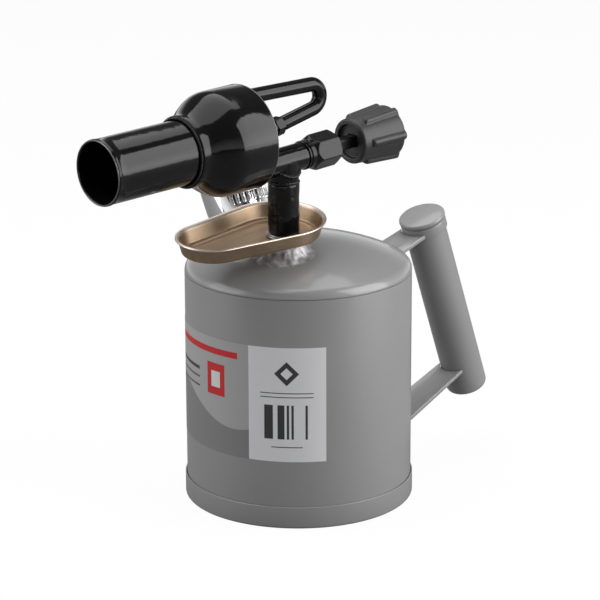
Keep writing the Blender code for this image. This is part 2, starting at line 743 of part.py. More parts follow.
def make_valve_body(riser, valve, look):
    """Cross tube on the riser, with a seat for the needle and a gland thread."""
    front = -VALVE_FRONT
    rear_thread = VALVE_REAR + VALVE_THREAD_LENGTH
    skin = [
        (0, rear_thread), (VALVE_THREAD_R, rear_thread), (VALVE_THREAD_R, VALVE_REAR),
        (VALVE_R - VALVE_EDGE, VALVE_REAR), (VALVE_R, VALVE_REAR - VALVE_EDGE),
        (VALVE_R, front), (VALVE_SPIGOT_R, front),
        (VALVE_SPIGOT_R, front - VALVE_SPIGOT_LENGTH), (0, front - VALVE_SPIGOT_LENGTH)]
    body = solid_turned("valve_body", valve, skin, look)
    boss_foot = RISER_TOP_Z + GAP / 2
    join(body, solid_turned("valve_boss", riser, [
        (0, VALVE_Z), (VALVE_BOSS_R, VALVE_Z), (VALVE_BOSS_R, boss_foot + VALVE_EDGE),
        (VALVE_BOSS_R - VALVE_EDGE, boss_foot), (0, boss_foot)]))
    journal = SPINDLE_R + GAP
    recess = VALVE_THREAD_R - PACKING_T / 2
    seat_end = -CHAMBER_FRONT - SEAT_LENGTH
    open_end = rear_thread + OVERRUN
    front_end = front - VALVE_SPIGOT_LENGTH - OVERRUN
    cut(body, solid_turned("valve_bore", valve, [
        (0, open_end), (recess, open_end), (recess, PACKING_FROM), (journal, PACKING_FROM),
        (journal, SPINDLE_SHOULDER - GAP), (CHAMBER_R, SPINDLE_SHOULDER - GAP),
        (CHAMBER_R, -CHAMBER_FRONT), (SEAT_R, seat_end), (SEAT_R, seat_end - SEAT_LAND),
        (PASSAGE_R, seat_end - SEAT_LAND), (PASSAGE_R, front_end), (0, front_end)],
        None, SMALL_SEGMENTS))
    socket = BOSS_SPIGOT_R + GAP
    socket_top = boss_foot + RISER_SPIGOT_LENGTH
    cut(body, solid_turned("valve_inlet", riser, [
        (0, VALVE_Z), (FUEL_BORE_R, VALVE_Z), (FUEL_BORE_R, socket_top),
        (socket, socket_top), (socket, boss_foot - OVERRUN), (0, boss_foot - OVERRUN)]))
    return body


def make_needle(valve, look):
    """Loose needle: it is pushed on to its seat and doesn't turn."""
    tip = -NEEDLE_TIP
    cone = tip + NEEDLE_CONE
    tail = tip + NEEDLE_LENGTH
    return solid_turned("needle", valve, [
        (0, tail), (NEEDLE_R, tail), (NEEDLE_R, cone), (NEEDLE_TIP_R, tip), (0, tip)],
        look, SMALL_SEGMENTS)


def make_spindle(valve, look):
    """Threaded spindle with a socket for the needle and a squared outer end."""
    front = -SPINDLE_FRONT
    end = KNOB_FRONT + KNOB_RECESS + KNOB_BORE_DEPTH
    spindle = solid_turned("valve_spindle", valve, [
        (0, end), (SPINDLE_R, end), (SPINDLE_R, SPINDLE_SHOULDER),
        (SPINDLE_THREAD_R, SPINDLE_SHOULDER), (SPINDLE_THREAD_R, front), (0, front)], look)
    length = end + OVERRUN - SPINDLE_SQUARE_FROM
    middle = SPINDLE_SQUARE_FROM + length / 2
    square_ring = block("square_ring", valve, (4 * SPINDLE_R, 4 * SPINDLE_R, length),
                        (0, 0, middle))
    cut(square_ring, block("square_core", valve,
                           (SPINDLE_SQUARE, SPINDLE_SQUARE, length + 2 * OVERRUN),
                           (0, 0, middle)))
    cut(spindle, square_ring)
    cut(spindle, rod("needle_socket", valve, NEEDLE_R + GAP, front + SPINDLE_SOCKET_DEPTH,
                     front - OVERRUN, None, SMALL_SEGMENTS))
    cut(spindle, rod("screw_socket", valve, KNOB_SCREW_R + GAP, end + OVERRUN,
                     end - KNOB_SCREW_LENGTH - GAP, None, SMALL_SEGMENTS))
    return spindle


def make_gland(valve, nut_look, packing_look):
    """Hexagon gland nut with its long cone, and the packing that it squeezes."""
    half_hex = NUT_FLATS / 2 / cos(pi / 6) + GAP
    ring_end = NUT_FROM + NUT_RING_T
    nut = hexagon("gland_nut", valve, NUT_FLATS, NUT_TO, NUT_CONE_FROM, nut_look)
    keep(nut, solid_turned("nut_turning", valve, [
        (0, NUT_TO + OVERRUN), (half_hex - NUT_CHAMFER - OVERRUN, NUT_TO + OVERRUN),
        (half_hex, NUT_TO - NUT_CHAMFER), (half_hex, NUT_CONE_FROM + NUT_CONE_LENGTH),
        (NUT_RING_R, NUT_CONE_FROM), (0, NUT_CONE_FROM)]))
    join(nut, solid_turned("nut_rings", valve, [
        (0, NUT_CONE_FROM + NUT_RING_T), (NUT_RING_R, NUT_CONE_FROM + NUT_RING_T),
        (NUT_RING_R, ring_end + NUT_RING_GROOVE),
        (NUT_RING_R - NUT_RING_GROOVE, ring_end + NUT_RING_GROOVE),
        (NUT_RING_R - NUT_RING_GROOVE, ring_end), (NUT_RING_R, ring_end),
        (NUT_RING_R, NUT_FROM), (0, NUT_FROM)]))
    lip = NUT_TO - NUT_LIP_T
    journal = SPINDLE_R + GAP
    thread = VALVE_THREAD_R + GAP
    cut(nut, solid_turned("nut_bore", valve, [
        (0, NUT_TO + OVERRUN), (journal, NUT_TO + OVERRUN), (journal, lip), (thread, lip),
        (thread, NUT_FROM - OVERRUN), (0, NUT_FROM - OVERRUN)]))
    low = PACKING_FROM + GAP
    high = lip - GAP
    outer = VALVE_THREAD_R - PACKING_T / 2 - GAP
    sleeve("gland_packing", valve, [(outer, high), (outer, low)],
           [(journal, high), (journal, low)], packing_look, SMALL_SEGMENTS)
    return nut


def knob_radius(z):
    """The knob's radius under its ribs at a place along the valve's axis."""
    share = (z - KNOB_FRONT) / KNOB_LENGTH
    return KNOB_FRONT_R + (KNOB_REAR_R - KNOB_FRONT_R) * share


def make_knob(valve, look):
    """Moulded knob: tapered, ribbed, hollow in front, squared on to the spindle."""
    rear = KNOB_FRONT + KNOB_LENGTH
    rear_edge = rear - KNOB_REAR_CHAMFER
    floor = KNOB_FRONT + KNOB_RECESS
    recess_r = KNOB_FRONT_R - KNOB_RING_WIDTH
    well = rear - KNOB_REAR_WELL
    knob = solid_turned("control_knob", valve, [
        (0, well), (KNOB_REAR_WELL_R, well), (KNOB_REAR_WELL_R, rear),
        (knob_radius(rear) - KNOB_REAR_CHAMFER, rear), (knob_radius(rear_edge), rear_edge),
        (knob_radius(KNOB_FRONT + KNOB_CHAMFER), KNOB_FRONT + KNOB_CHAMFER),
        (KNOB_FRONT_R - KNOB_CHAMFER, KNOB_FRONT), (recess_r, KNOB_FRONT),
        (recess_r, floor), (0, floor)], look, FITTING_SEGMENTS)
    nose = KNOB_FRONT + KNOB_RIB_SETBACK
    sink = KNOB_RIB_R - KNOB_RIB_PROUD
    stations = []
    for z, fatness_share in ((nose, 0.55), (nose + KNOB_RIB_NOSE, 1.0), (rear_edge, 1.0),
                             (rear - KNOB_CHAMFER, 0.55)):
        stations.append((knob_radius(z) - sink, z, KNOB_RIB_R * fatness_share))
    angles = [KNOB_RIB_PHASE + 2 * pi * i / KNOB_RIB_COUNT for i in range(KNOB_RIB_COUNT)]
    join(knob, bars_round("knob_ribs", valve, stations, angles, sides=6))
    bore = SPINDLE_SQUARE + 2 * GAP
    depth = KNOB_BORE_DEPTH + GAP + OVERRUN
    cut(knob, block("knob_square", valve, (bore, bore, depth),
                    (0, 0, floor - OVERRUN + depth / 2)))
    cut(knob, rod("knob_screw_hole", valve, KNOB_SCREW_R + GAP, rear, floor, None,
                  SMALL_SEGMENTS))
    return knob


def make_knob_screw(valve, look):
    """Slotted screw through the knob's web into the spindle."""
    under_head = KNOB_FRONT + KNOB_LENGTH - KNOB_REAR_WELL + GAP
    top = under_head + KNOB_SCREW_HEAD
    end = KNOB_FRONT + KNOB_RECESS + KNOB_BORE_DEPTH - KNOB_SCREW_LENGTH
    screw = solid_turned("knob_screw", valve, [
        (0, top), (KNOB_SCREW_HEAD_R - KNOB_CHAMFER, top),
        (KNOB_SCREW_HEAD_R, top - KNOB_CHAMFER), (KNOB_SCREW_HEAD_R, under_head),
        (KNOB_SCREW_R, under_head), (KNOB_SCREW_R, end), (0, end)], look, SMALL_SEGMENTS)
    cut(screw, block("screw_slot", valve,
                     (2 * KNOB_SCREW_HEAD_R + OVERRUN, KNOB_SCREW_SLOT,
                      2 * KNOB_SCREW_SLOT_DEPTH), (0, 0, top)))
    return screw


# Burner

def shell_curve(thickness):
    """The shell's shoulder from its drum to its neck, as one S-shaped sweep."""
    drum = SHELL_R - thickness
    neck = SHELL_NECK_R - thickness
    points = []
    for i in range(SHELL_CURVE_STEPS + 1):
        share = i / SHELL_CURVE_STEPS
        fall = (1 - cos(pi * share**SHELL_CURVE_BIAS_SHARE)) / 2
        z = -SHELL_SHOULDER - (SHELL_NECK - SHELL_SHOULDER) * share
        points.append((drum - (drum - neck) * fall, z))
    return points


def make_shell(flame, look):
    """Wind shield round the vaporiser: open behind, necked on to the flame tube."""
    outside = [(SHELL_R, -SHELL_REAR)] + shell_curve(0)
    outside += [(SHELL_NECK_R, -SHELL_FRONT)]
    bore = [(SHELL_BORE_R, -SHELL_REAR)] + shell_curve(SHELL_T)[::2]
    seat = FLAME_TUBE_R + GAP
    bore += [(seat, -SHELL_FRONT + SHELL_NECK_BORE_LENGTH), (seat, -SHELL_FRONT)]
    return sleeve("burner_shell", flame, outside, bore, look, BURNER_SEGMENTS)


def make_flame_tube(flame, look):
    """Plain tube from the vaporiser to the mouth, with a rolled bead at the lip."""
    rear = -BODY_REAR - BODY_LENGTH - GAP
    mouth = -MOUTH_REACH
    bead = mouth + MOUTH_BEAD_LENGTH
    outside = [(FLAME_TUBE_R, rear), (FLAME_TUBE_R, bead + MOUTH_BEAD),
               (FLAME_TUBE_R + MOUTH_BEAD, bead),
               (FLAME_TUBE_R + MOUTH_BEAD, mouth + MOUTH_BEAD),
               (FLAME_TUBE_R, mouth)]
    bore = [(FLAME_BORE_R, rear), (FLAME_BORE_R, mouth + MOUTH_BEAD),
            (FLAME_BORE_R + MOUTH_BEAD, mouth)]
    return sleeve("flame_tube", flame, outside, bore, look, BURNER_SEGMENTS)


def make_vaporiser_body(flame, valve, look):
    """Casting that carries the burner: fuel gallery, air way, spider and spigot."""
    rear = -BODY_REAR
    front = rear - BODY_LENGTH
    spigot_r = FLAME_BORE_R - GAP
    spigot_end = front - BODY_SPIGOT_LENGTH
    cone = rear - BODY_AIR_LENGTH
    body = sleeve("vaporiser_body", flame, [
        (BODY_R - BODY_EDGE, rear), (BODY_R, rear - BODY_EDGE), (BODY_R, front + BODY_EDGE),
        (BODY_R - BODY_EDGE, front), (spigot_r, front), (spigot_r, spigot_end)], [
        (BODY_AIR_R, rear), (BODY_AIR_R, cone),
        (BODY_SPIGOT_BORE_R, cone - BODY_CONE_LENGTH), (BODY_SPIGOT_BORE_R, spigot_end)],
        look)
    hub_bottom = rear - HUB_LENGTH
    join(body, rod("hub", flame, HUB_R, rear, hub_bottom, None, SMALL_SEGMENTS))
    reach = BODY_AIR_R + BODY_EDGE
    bm = bmesh.new()
    for i in range(ARM_COUNT):
        made = bmesh.ops.create_cube(bm, size=1.0)["verts"]
        bmesh.ops.scale(bm, verts=made, vec=(reach, ARM_WIDTH, HUB_LENGTH - BODY_EDGE))
        bmesh.ops.translate(bm, verts=made,
                            vec=(-reach / 2 - ARM_WIDTH, 0, rear - HUB_LENGTH / 2))
        turn = 2 * pi * i / ARM_COUNT
        for vert in made:
            x, y, z = vert.co
            vert.co = (x * cos(turn) - y * sin(turn), x * sin(turn) + y * cos(turn), z)
    join(body, new_object("spider_arms", mesh_of(bm, "spider_arms"), flame))
    cut(body, rod("hub_bore", flame, JET_R + GAP, rear + OVERRUN, hub_bottom - OVERRUN,
                  None, SMALL_SEGMENTS))
    ring = arc(GALLERY_R, rear - GALLERY_INSET, GALLERY_BORE_R, 0, -2 * pi, 6)[:-1]
    cut(body, turned("gallery", flame, ring))
    front_face = -VALVE_FRONT
    socket_end = front_face - VALVE_SPIGOT_LENGTH - GAP
    cut(body, rod("inlet_socket", valve, VALVE_SPIGOT_R + GAP, front_face + OVERRUN,
                  socket_end, None, SMALL_SEGMENTS))
    start, direction = loop_upper_line()
    end = start - direction * GAP
    far = start + direction * (LOOP_SOCKET + OVERRUN)
    cut(body, pipe("outlet_socket", flame, [end, far], LOOP_R + GAP))
    return body


def up_from_flame(distance, height):
    """A point in the burner's middle plane: along the flame's axis, and above it."""
    return Vector((-height, 0, distance))


def loop_upper_line():
    """Start and direction of the loop's upper leg, from inside the casting."""
    start_z = -BODY_REAR - LOOP_SOCKET
    height = LOOP_HEIGHT + start_z * tan(LOOP_SLOPE)
    direction = up_from_flame(cos(LOOP_SLOPE), sin(LOOP_SLOPE))
    return up_from_flame(start_z, height), direction


def on_return_leg(distance):
    """A point on the loop's straight return leg, measured from the jet's elbow."""
    return up_from_flame(distance * cos(LOOP_RETURN_SLOPE) - JET_BEND,
                         distance * sin(LOOP_RETURN_SLOPE))


def loop_route():
    """Upper leg, bend and straight return leg of the preheating loop, end to end."""
    spread = 1 / cos(LOOP_SLOPE) + 1 / cos(LOOP_RETURN_SLOPE)
    closing = tan(LOOP_RETURN_SLOPE) - tan(LOOP_SLOPE)
    lower_at_reach = (LOOP_REACH + JET_BEND) * tan(LOOP_RETURN_SLOPE)
    upper_at_reach = LOOP_HEIGHT + LOOP_REACH * tan(LOOP_SLOPE)
    bend_r = (upper_at_reach - lower_at_reach) / (spread - closing)
    centre_z = LOOP_REACH - bend_r
    centre_h = upper_at_reach - bend_r * tan(LOOP_SLOPE) - bend_r / cos(LOOP_SLOPE)
    points = [loop_upper_line()[0]]
    first = pi / 2 + LOOP_SLOPE
    last = -pi / 2 + LOOP_RETURN_SLOPE
    for i in range(LOOP_BEND_STEPS + 1):
        angle = first + (last - first) * i / LOOP_BEND_STEPS
        points.append(up_from_flame(centre_z + bend_r * cos(angle),
                                    centre_h + bend_r * sin(angle)))
    points.append(on_return_leg(JET_REAR + LOOP_END_GAP))
    return points


def make_loop(flame, look):
    """Hollow U-shaped tube in which the flame's heat turns the petrol to vapour."""
    route = loop_route()
    loop = pipe("vaporiser_loop", flame, route, LOOP_R, look, resolution=3)
    start, direction = loop_upper_line()
    bore = [start - direction * OVERRUN] + route[1:-1]
    bore.append(on_return_leg(JET_REAR + LOOP_END_GAP - OVERRUN))
    return cut(loop, pipe("loop_bore", flame, bore, LOOP_BORE_R, None, 0))


def make_jet(flame, body_look, nozzle_look, nut_look):
    """Bent jet holder through the spider, its brass nozzle, and the union nut."""
    leg = new_axis("return_leg_axis", flame, (0, 0, -JET_BEND), (0, -LOOP_RETURN_SLOPE, 0))
    front = -JET_FRONT
    mitre = JET_R * tan(LOOP_RETURN_SLOPE / 2)
    thread_from = UNION_FROM - GAP
    holder = rod("jet_holder", flame, JET_R, mitre - JET_BEND, front, body_look, SMALL_SEGMENTS)
    join(holder, solid_turned("holder_tail", leg, [
        (0, JET_REAR), (JET_REAR_THREAD_R, JET_REAR), (JET_REAR_THREAD_R, thread_from),
        (JET_R, thread_from), (JET_R, -mitre), (0, -mitre)], None, SMALL_SEGMENTS))
    socket_end = front + JET_FRONT_SOCKET_DEPTH
    cut(holder, solid_turned("jet_bore", flame, [
        (0, GAP - JET_BEND), (JET_BORE_R, GAP - JET_BEND), (JET_BORE_R, socket_end),
        (JET_FRONT_SOCKET_R + GAP, socket_end), (JET_FRONT_SOCKET_R + GAP, front - OVERRUN),
        (0, front - OVERRUN)], None, SMALL_SEGMENTS))
    cut(holder, rod("jet_tail_bore", leg, JET_BORE_R, JET_REAR + OVERRUN, -GAP, None,
                    SMALL_SEGMENTS))
    seat = front - GAP
    tip = seat - NOZZLE_LENGTH
    tail = seat + NOZZLE_STEM_LENGTH
    sleeve("jet_nozzle", flame, [
        (JET_FRONT_SOCKET_R, tail), (JET_FRONT_SOCKET_R, seat), (NOZZLE_R, seat),
        (NOZZLE_R, seat - NOZZLE_LENGTH / 2), (NOZZLE_TIP_R, tip)], [
        (JET_BORE_R, tail), (JET_BORE_R, seat), (NOZZLE_ORIFICE_R, tip + GAP),
        (NOZZLE_ORIFICE_R, tip)], nozzle_look, SMALL_SEGMENTS)
    half_hex = UNION_FLATS / 2 / cos(pi / 6) + GAP
    nut = hexagon("loop_union_nut", leg, UNION_FLATS, UNION_TO, UNION_FROM, nut_look)
    keep(nut, solid_turned("union_turning", leg, [
        (0, UNION_TO), (half_hex - UNION_CHAMFER, UNION_TO),
        (half_hex, UNION_TO - UNION_CHAMFER), (half_hex, UNION_FROM + UNION_CHAMFER),
        (half_hex - UNION_CHAMFER, UNION_FROM), (0, UNION_FROM)]))
    cut(nut, rod("union_bore", leg, JET_REAR_THREAD_R + GAP, UNION_TO + OVERRUN,
                 UNION_FROM - OVERRUN, None, SMALL_SEGMENTS))


def make_mixing_tube(flame, look):
    """Venturi in the casting's spigot, where the vapour jet draws in its air."""
    rear = -BODY_REAR - BODY_AIR_LENGTH - BODY_CONE_LENGTH - GAP
    seat_r = BODY_SPIGOT_BORE_R - GAP
    seat_end = rear - MIXER_SEAT_LENGTH
    throat = rear - MIXER_BELL_LENGTH
    end = rear - MIXER_LENGTH
    step_end = seat_end - MIXER_STEP_LENGTH
    outside = [(seat_r, rear), (seat_r, seat_end), (MIXER_THROAT_R + MIXER_T, step_end),
               (MIXER_END_R + MIXER_T, end)]
    bore = [(seat_r - MIXER_T, rear), (MIXER_THROAT_R, throat),
            (MIXER_THROAT_R, step_end), (MIXER_END_R, end)]
    return sleeve("mixing_tube", flame, outside, bore, look, SMALL_SEGMENTS)


# Filler

def make_filler_neck(tank, filler, look):
    """Threaded neck welded through the dome, leaning outwards."""
    core = NECK_R - GAP
    neck = solid_turned("filler_neck", filler, [
        (0, NECK_FOOT_TOP), (core, NECK_FOOT_TOP), (NECK_FOOT_R, NECK_FOOT_TOP / 2),
        (NECK_FOOT_R, -NECK_BELOW), (0, -NECK_BELOW)], look)
    cut(neck, make_dome_form(tank, filler, core))
    join(neck, rod("neck_stem", filler, NECK_R, NECK_ABOVE, -NECK_BELOW))
    cut(neck, rod("neck_bore", filler, NECK_BORE_R, NECK_ABOVE + OVERRUN,
                  -NECK_BELOW - OVERRUN))
    return neck


def make_filler_cap(filler, look):
    """Screw cap with grip ribs in groups, open below over the neck."""
    ceiling = NECK_ABOVE + GAP + SEAL_T + GAP
    dish = CAP_TOP - CAP_DISH
    cap = solid_turned("filler_cap", filler, [
        (0, dish), (CAP_DISH_R, dish), (CAP_DISH_R + CAP_DISH, CAP_TOP),
        (CAP_R - CAP_EDGE, CAP_TOP), (CAP_R, CAP_TOP - CAP_EDGE), (CAP_R, CAP_BOTTOM),
        (CAP_BORE_R, CAP_BOTTOM), (CAP_BORE_R, ceiling), (0, ceiling)],
        look, BARREL_SEGMENTS)
    low = CAP_BOTTOM + CAP_RIB_INSET
    high = CAP_TOP - CAP_EDGE - CAP_RIB_INSET
    distance = CAP_R - CAP_RIB_R + CAP_RIB_PROUD
    stations = [(distance, low, CAP_RIB_R), (distance, high, CAP_RIB_R)]
    angles = []
    for group in range(CAP_RIB_GROUPS):
        middle = CAP_RIB_PHASE + 2 * pi * group / CAP_RIB_GROUPS
        for i in range(CAP_RIBS_PER_GROUP):
            angles.append(middle + CAP_RIB_PITCH * (i - (CAP_RIBS_PER_GROUP - 1) / 2))
    join(cap, bars_round("cap_ribs", filler, stations, angles, sides=6))
    return cap


def make_cap_seal(filler, look):
    low = NECK_ABOVE + GAP
    high = low + SEAL_T
    outer = CAP_BORE_R - GAP
    return sleeve("cap_seal", filler, [(outer, high), (outer, low)],
                  [(NECK_BORE_R, high), (NECK_BORE_R, low)], look)


# Handle

def reach_to_barrel(strap_z, slope, drop, distance):
    """How far along a strap's line, dropped below it, the barrel's axis comes near.

    The line starts on the tank's wall and the answer is where it is the given
    distance short of the barrel's axis.
    """
    start_x = WALL_R + drop * sin(slope)
    start_z = strap_z - drop * cos(slope)
    across_x = cos(PUMP_LEAN)
    across_z = sin(PUMP_LEAN)
    away = (PUMP_FOOT_X - start_x) * across_x + (PUMP_FOOT_Z - start_z) * across_z
    closing = cos(slope) * across_x + sin(slope) * across_z
    return (away - distance) / closing


def make_strap(name, tank, pump, strap_z, slope, half_root, half_tip, seat_r, look):
    """Tapered flat strap, cut to the round of the tank and of the handle."""
    seat = new_axis(name + "_seat", tank, (WALL_R, 0, strap_z), (0, -slope, 0))
    end = reach_to_barrel(strap_z, slope, 0, 0)
    data = bpy.data.curves.new(name, "CURVE")
    data.dimensions = "2D"
    data.fill_mode = "BOTH"
    data.extrude = STRAP_T / 2
    spline = data.splines.new("POLY")
    inside = -half_root
    corners = [(inside, half_root), (inside, -half_root), (end, -half_tip), (end, half_tip)]
    spline.points.add(len(corners) - 1)
    for target, (x, y) in zip(spline.points, corners):
        target.co = (x, y, 0, 1.0)
    spline.use_cyclic_u = True
    guide = bpy.data.objects.new(name + "_outline", data)
    CUTTERS.objects.link(guide)
    depsgraph = bpy.context.evaluated_depsgraph_get()
    mesh = bpy.data.meshes.new_from_object(guide.evaluated_get(depsgraph))
    bm = bmesh.new()
    bm.from_mesh(mesh)
    bmesh.ops.remove_doubles(bm, verts=bm.verts, dist=WELD_DISTANCE)
    bmesh.ops.recalc_face_normals(bm, faces=bm.faces)
    bm.to_mesh(mesh)
    bm.free()
    bpy.data.objects.remove(guide, do_unlink=True)
    strap = new_object(name, mesh, seat, look)
    cut(strap, rod(name + "_tank_form", tank, WALL_R + GAP, SHOULDER_Z + WALL_R, -WALL_R,
                   None, TANK_SEGMENTS))
    cut(strap, rod(name + "_barrel_form", pump, seat_r + GAP, COLLAR_TO + OVERRUN,
                   -OVERRUN, None, BARREL_SEGMENTS))
    return seat


def make_air_pipe(strap_seat, tank_wall, barrel, look):
    """Thin pipe under the lower strap, from the pump's foot into the tank."""
    drop = STRAP_T / 2 + GAP + AIR_PIPE_R
    line = new_axis("air_pipe_line", strap_seat, (0, 0, -drop), (0, pi / 2, 0))
    end = reach_to_barrel(LOWER_STRAP_Z, LOWER_STRAP_SLOPE, drop, BARREL_BORE_R + BARREL_T / 2)
    start = -AIR_PIPE_INSIDE
    sleeve("air_pipe", line, [(AIR_PIPE_R, end), (AIR_PIPE_R, start)],
           [(AIR_PIPE_BORE_R, end), (AIR_PIPE_BORE_R, start)], look, SMALL_SEGMENTS)
    hole = AIR_PIPE_R + GAP
    cut(tank_wall, rod("air_hole_tank", line, hole, OVERRUN, start - OVERRUN, None,
                       SMALL_SEGMENTS))
    cut(barrel, rod("air_hole_barrel", line, hole, end + BARREL_T + OVERRUN,
                    end - BARREL_T - OVERRUN, None, SMALL_SEGMENTS))
    return rod("air_port", line, AIR_PIPE_BORE_R, end + BARREL_R, end, None, SMALL_SEGMENTS)


def make_barrel(pump, look):
    """Pump barrel, which is also the handle: closed and rounded at its foot."""
    inner_round = BARREL_FOOT_R - BARREL_T
    inside = [(0, BARREL_T)]
    inside += arc(BARREL_R - BARREL_FOOT_R, BARREL_FOOT_R, inner_round, -pi / 2, 0,
                  BARREL_FOOT_STEPS // 2)
    inside += [(BARREL_BORE_R, BARREL_TOP)]
    outside = [(BARREL_R, BARREL_TOP)]
    outside += arc(BARREL_R - BARREL_FOOT_R, BARREL_FOOT_R, BARREL_FOOT_R, 0, -pi / 2,
                   BARREL_FOOT_STEPS)
    outside += [(0, 0)]
    return solid_turned("pump_barrel", pump, inside + outside, look, BARREL_SEGMENTS)


def make_barrel_collar(pump, look):
    """Collar over the barrel's top: web, rod guide and a well for the knob's boss."""
    web_low = COLLAR_TO - COLLAR_WELL - COLLAR_WEB
    guide_low = web_low - GUIDE_LENGTH
    well = COLLAR_TO - COLLAR_WELL
    hole = ROD_R + GAP
    skirt = BARREL_R + GAP
    inside_r = BARREL_BORE_R - GAP
    outside = [(COLLAR_R - COLLAR_EDGE, COLLAR_TO), (COLLAR_R, COLLAR_TO - COLLAR_EDGE),
               (COLLAR_R, COLLAR_FROM + COLLAR_EDGE), (COLLAR_R - COLLAR_EDGE, COLLAR_FROM),
               (skirt, COLLAR_FROM), (skirt, BARREL_TOP + GAP), (inside_r, BARREL_TOP + GAP),
               (GUIDE_R, web_low - GAP), (GUIDE_R, guide_low)]
    bore = [(COLLAR_WELL_R, COLLAR_TO), (COLLAR_WELL_R, well), (hole, well), (hole, guide_low)]
    return sleeve("barrel_collar", pump, outside, bore, look, BARREL_SEGMENTS)


def make_pump_knob(pump, look):
    """Flat disc on the rod, whose boss drops into the collar's well."""
    top = DISC_FROM + KNOB_DISC_T
    boss_low = DISC_FROM - KNOB_DISC_BOSS + GAP
    hole = ROD_END_R + GAP
    blind = top - KNOB_DISC_CAP_T
    return solid_turned("pump_knob", pump, [
        (0, top), (KNOB_DISC_R - KNOB_DISC_EDGE, top), (KNOB_DISC_R, top - KNOB_DISC_EDGE),
        (KNOB_DISC_R, DISC_FROM + KNOB_DISC_EDGE), (KNOB_DISC_R - KNOB_DISC_EDGE, DISC_FROM),
        (KNOB_DISC_BOSS_R, DISC_FROM), (KNOB_DISC_BOSS_R, boss_low), (hole, boss_low),
        (hole, blind), (0, blind)], look, BARREL_SEGMENTS)


def make_plunger(pump, rod_look, cup_look, washer_look, nut_look):
    """Rod, leather cup between two washers, and the nut that holds them."""
    knob_end = DISC_FROM + KNOB_DISC_T - KNOB_DISC_CAP_T - GAP
    shaft_top = DISC_FROM - KNOB_DISC_BOSS
    upper_high = ROD_SHOULDER - GAP
    upper_low = upper_high - CUP_WASHER_T
    web_high = upper_low - GAP
    web_low = web_high - CUP_WEB
    lower_high = web_low - GAP
    lower_low = lower_high - CUP_WASHER_T
    nut_high = lower_low - GAP
    nut_low = nut_high - PISTON_NUT_T
    end = nut_low - ROD_BELOW_NUT
    hole = ROD_END_R + GAP
    solid_turned("pump_rod", pump, [
        (0, knob_end), (ROD_END_R, knob_end), (ROD_END_R, shaft_top), (ROD_R, shaft_top),
        (ROD_R, ROD_SHOULDER), (ROD_END_R, ROD_SHOULDER), (ROD_END_R, end), (0, end)],
        rod_look, SMALL_SEGMENTS)
    cup_r = BARREL_BORE_R - CUP_CLEARANCE
    upper_r = cup_r - CUP_WASHER_INSET
    sleeve("upper_cup_washer", pump, [(upper_r, upper_high), (upper_r, upper_low)],
           [(hole, upper_high), (hole, upper_low)], washer_look)
    lip = web_high - CUP_DEPTH
    inner = cup_r - CUP_T
    sleeve("pump_cup", pump, [(cup_r, web_high), (cup_r, lip), (inner, lip), (inner, web_low)],
           [(hole, web_high), (hole, web_low)], cup_look)
    lower_r = inner - GAP
    sleeve("lower_cup_washer", pump, [(lower_r, lower_high), (lower_r, lower_low)],
           [(hole, lower_high), (hole, lower_low)], washer_look)
    nut = hexagon("cup_nut", pump, PISTON_NUT_FLATS, nut_high, nut_low, nut_look)
    cut(nut, rod("cup_nut_bore", pump, hole, nut_high + OVERRUN, nut_low - OVERRUN,
                 None, SMALL_SEGMENTS))


def check_ball_height():
    """Height of the ball's centre when it lies against its seat."""
    seat = CHECK_TOP - CHECK_INLET_LENGTH
    return seat - sqrt(CHECK_BALL_R**2 - CHECK_INLET_R**2) - GAP


def make_check_valve(pump, air_port, body_look, ball_look, spring_look):
    """Plug in the barrel's foot with a sprung ball that lets air out to the tank."""
    seat = CHECK_TOP - CHECK_INLET_LENGTH
    outer = BARREL_BORE_R - GAP
    body = sleeve("check_valve_body", pump, [(outer, CHECK_TOP), (outer, CHECK_BOTTOM)], [
        (CHECK_INLET_R, CHECK_TOP), (CHECK_INLET_R, seat), (CHECK_CHAMBER_R, seat),
        (CHECK_CHAMBER_R, CHECK_BOTTOM)], body_look)
    cut(body, air_port)
    centre = check_ball_height()
    ball_seat = new_axis("check_ball_axis", pump, (0, 0, centre))
    bm = bmesh.new()
    bmesh.ops.create_uvsphere(bm, u_segments=CHECK_BALL_SEGMENTS,
                              v_segments=CHECK_BALL_RINGS, radius=CHECK_BALL_R)
    new_object("check_ball", mesh_of(bm, "check_ball"), ball_seat, ball_look)
    low = BARREL_T + GAP + SPRING_WIRE_R
    high = centre - sqrt(CHECK_BALL_R**2 - (SPRING_R - SPRING_WIRE_R)**2) - GAP
    high -= SPRING_WIRE_R
    count = SPRING_TURNS * SPRING_POINTS_PER_TURN
    route = []
    for i in range(count + 1):
        turn = 2 * pi * i / SPRING_POINTS_PER_TURN
        route.append((SPRING_R * cos(turn), SPRING_R * sin(turn), low + (high - low) * i / count))
    pipe("check_spring", pump, route, SPRING_WIRE_R, spring_look, 0)


# Assembly

def settle_meshes():
    """Turn every piece's modifiers into a plain mesh, shaded smooth or sharp."""
    bpy.context.view_layer.update()
    depsgraph = bpy.context.evaluated_depsgraph_get()
    pieces = [obj for obj in PARTS.objects if obj.type == "MESH"]
    meshes = [bpy.data.meshes.new_from_object(obj.evaluated_get(depsgraph)) for obj in pieces]
    for obj, mesh in zip(pieces, meshes):
        obj.modifiers.clear()
        obj.data = mesh
        mesh.name = obj.name
        mesh.shade_smooth()
        mesh.set_sharp_from_angle(angle=CREASE_ANGLE)


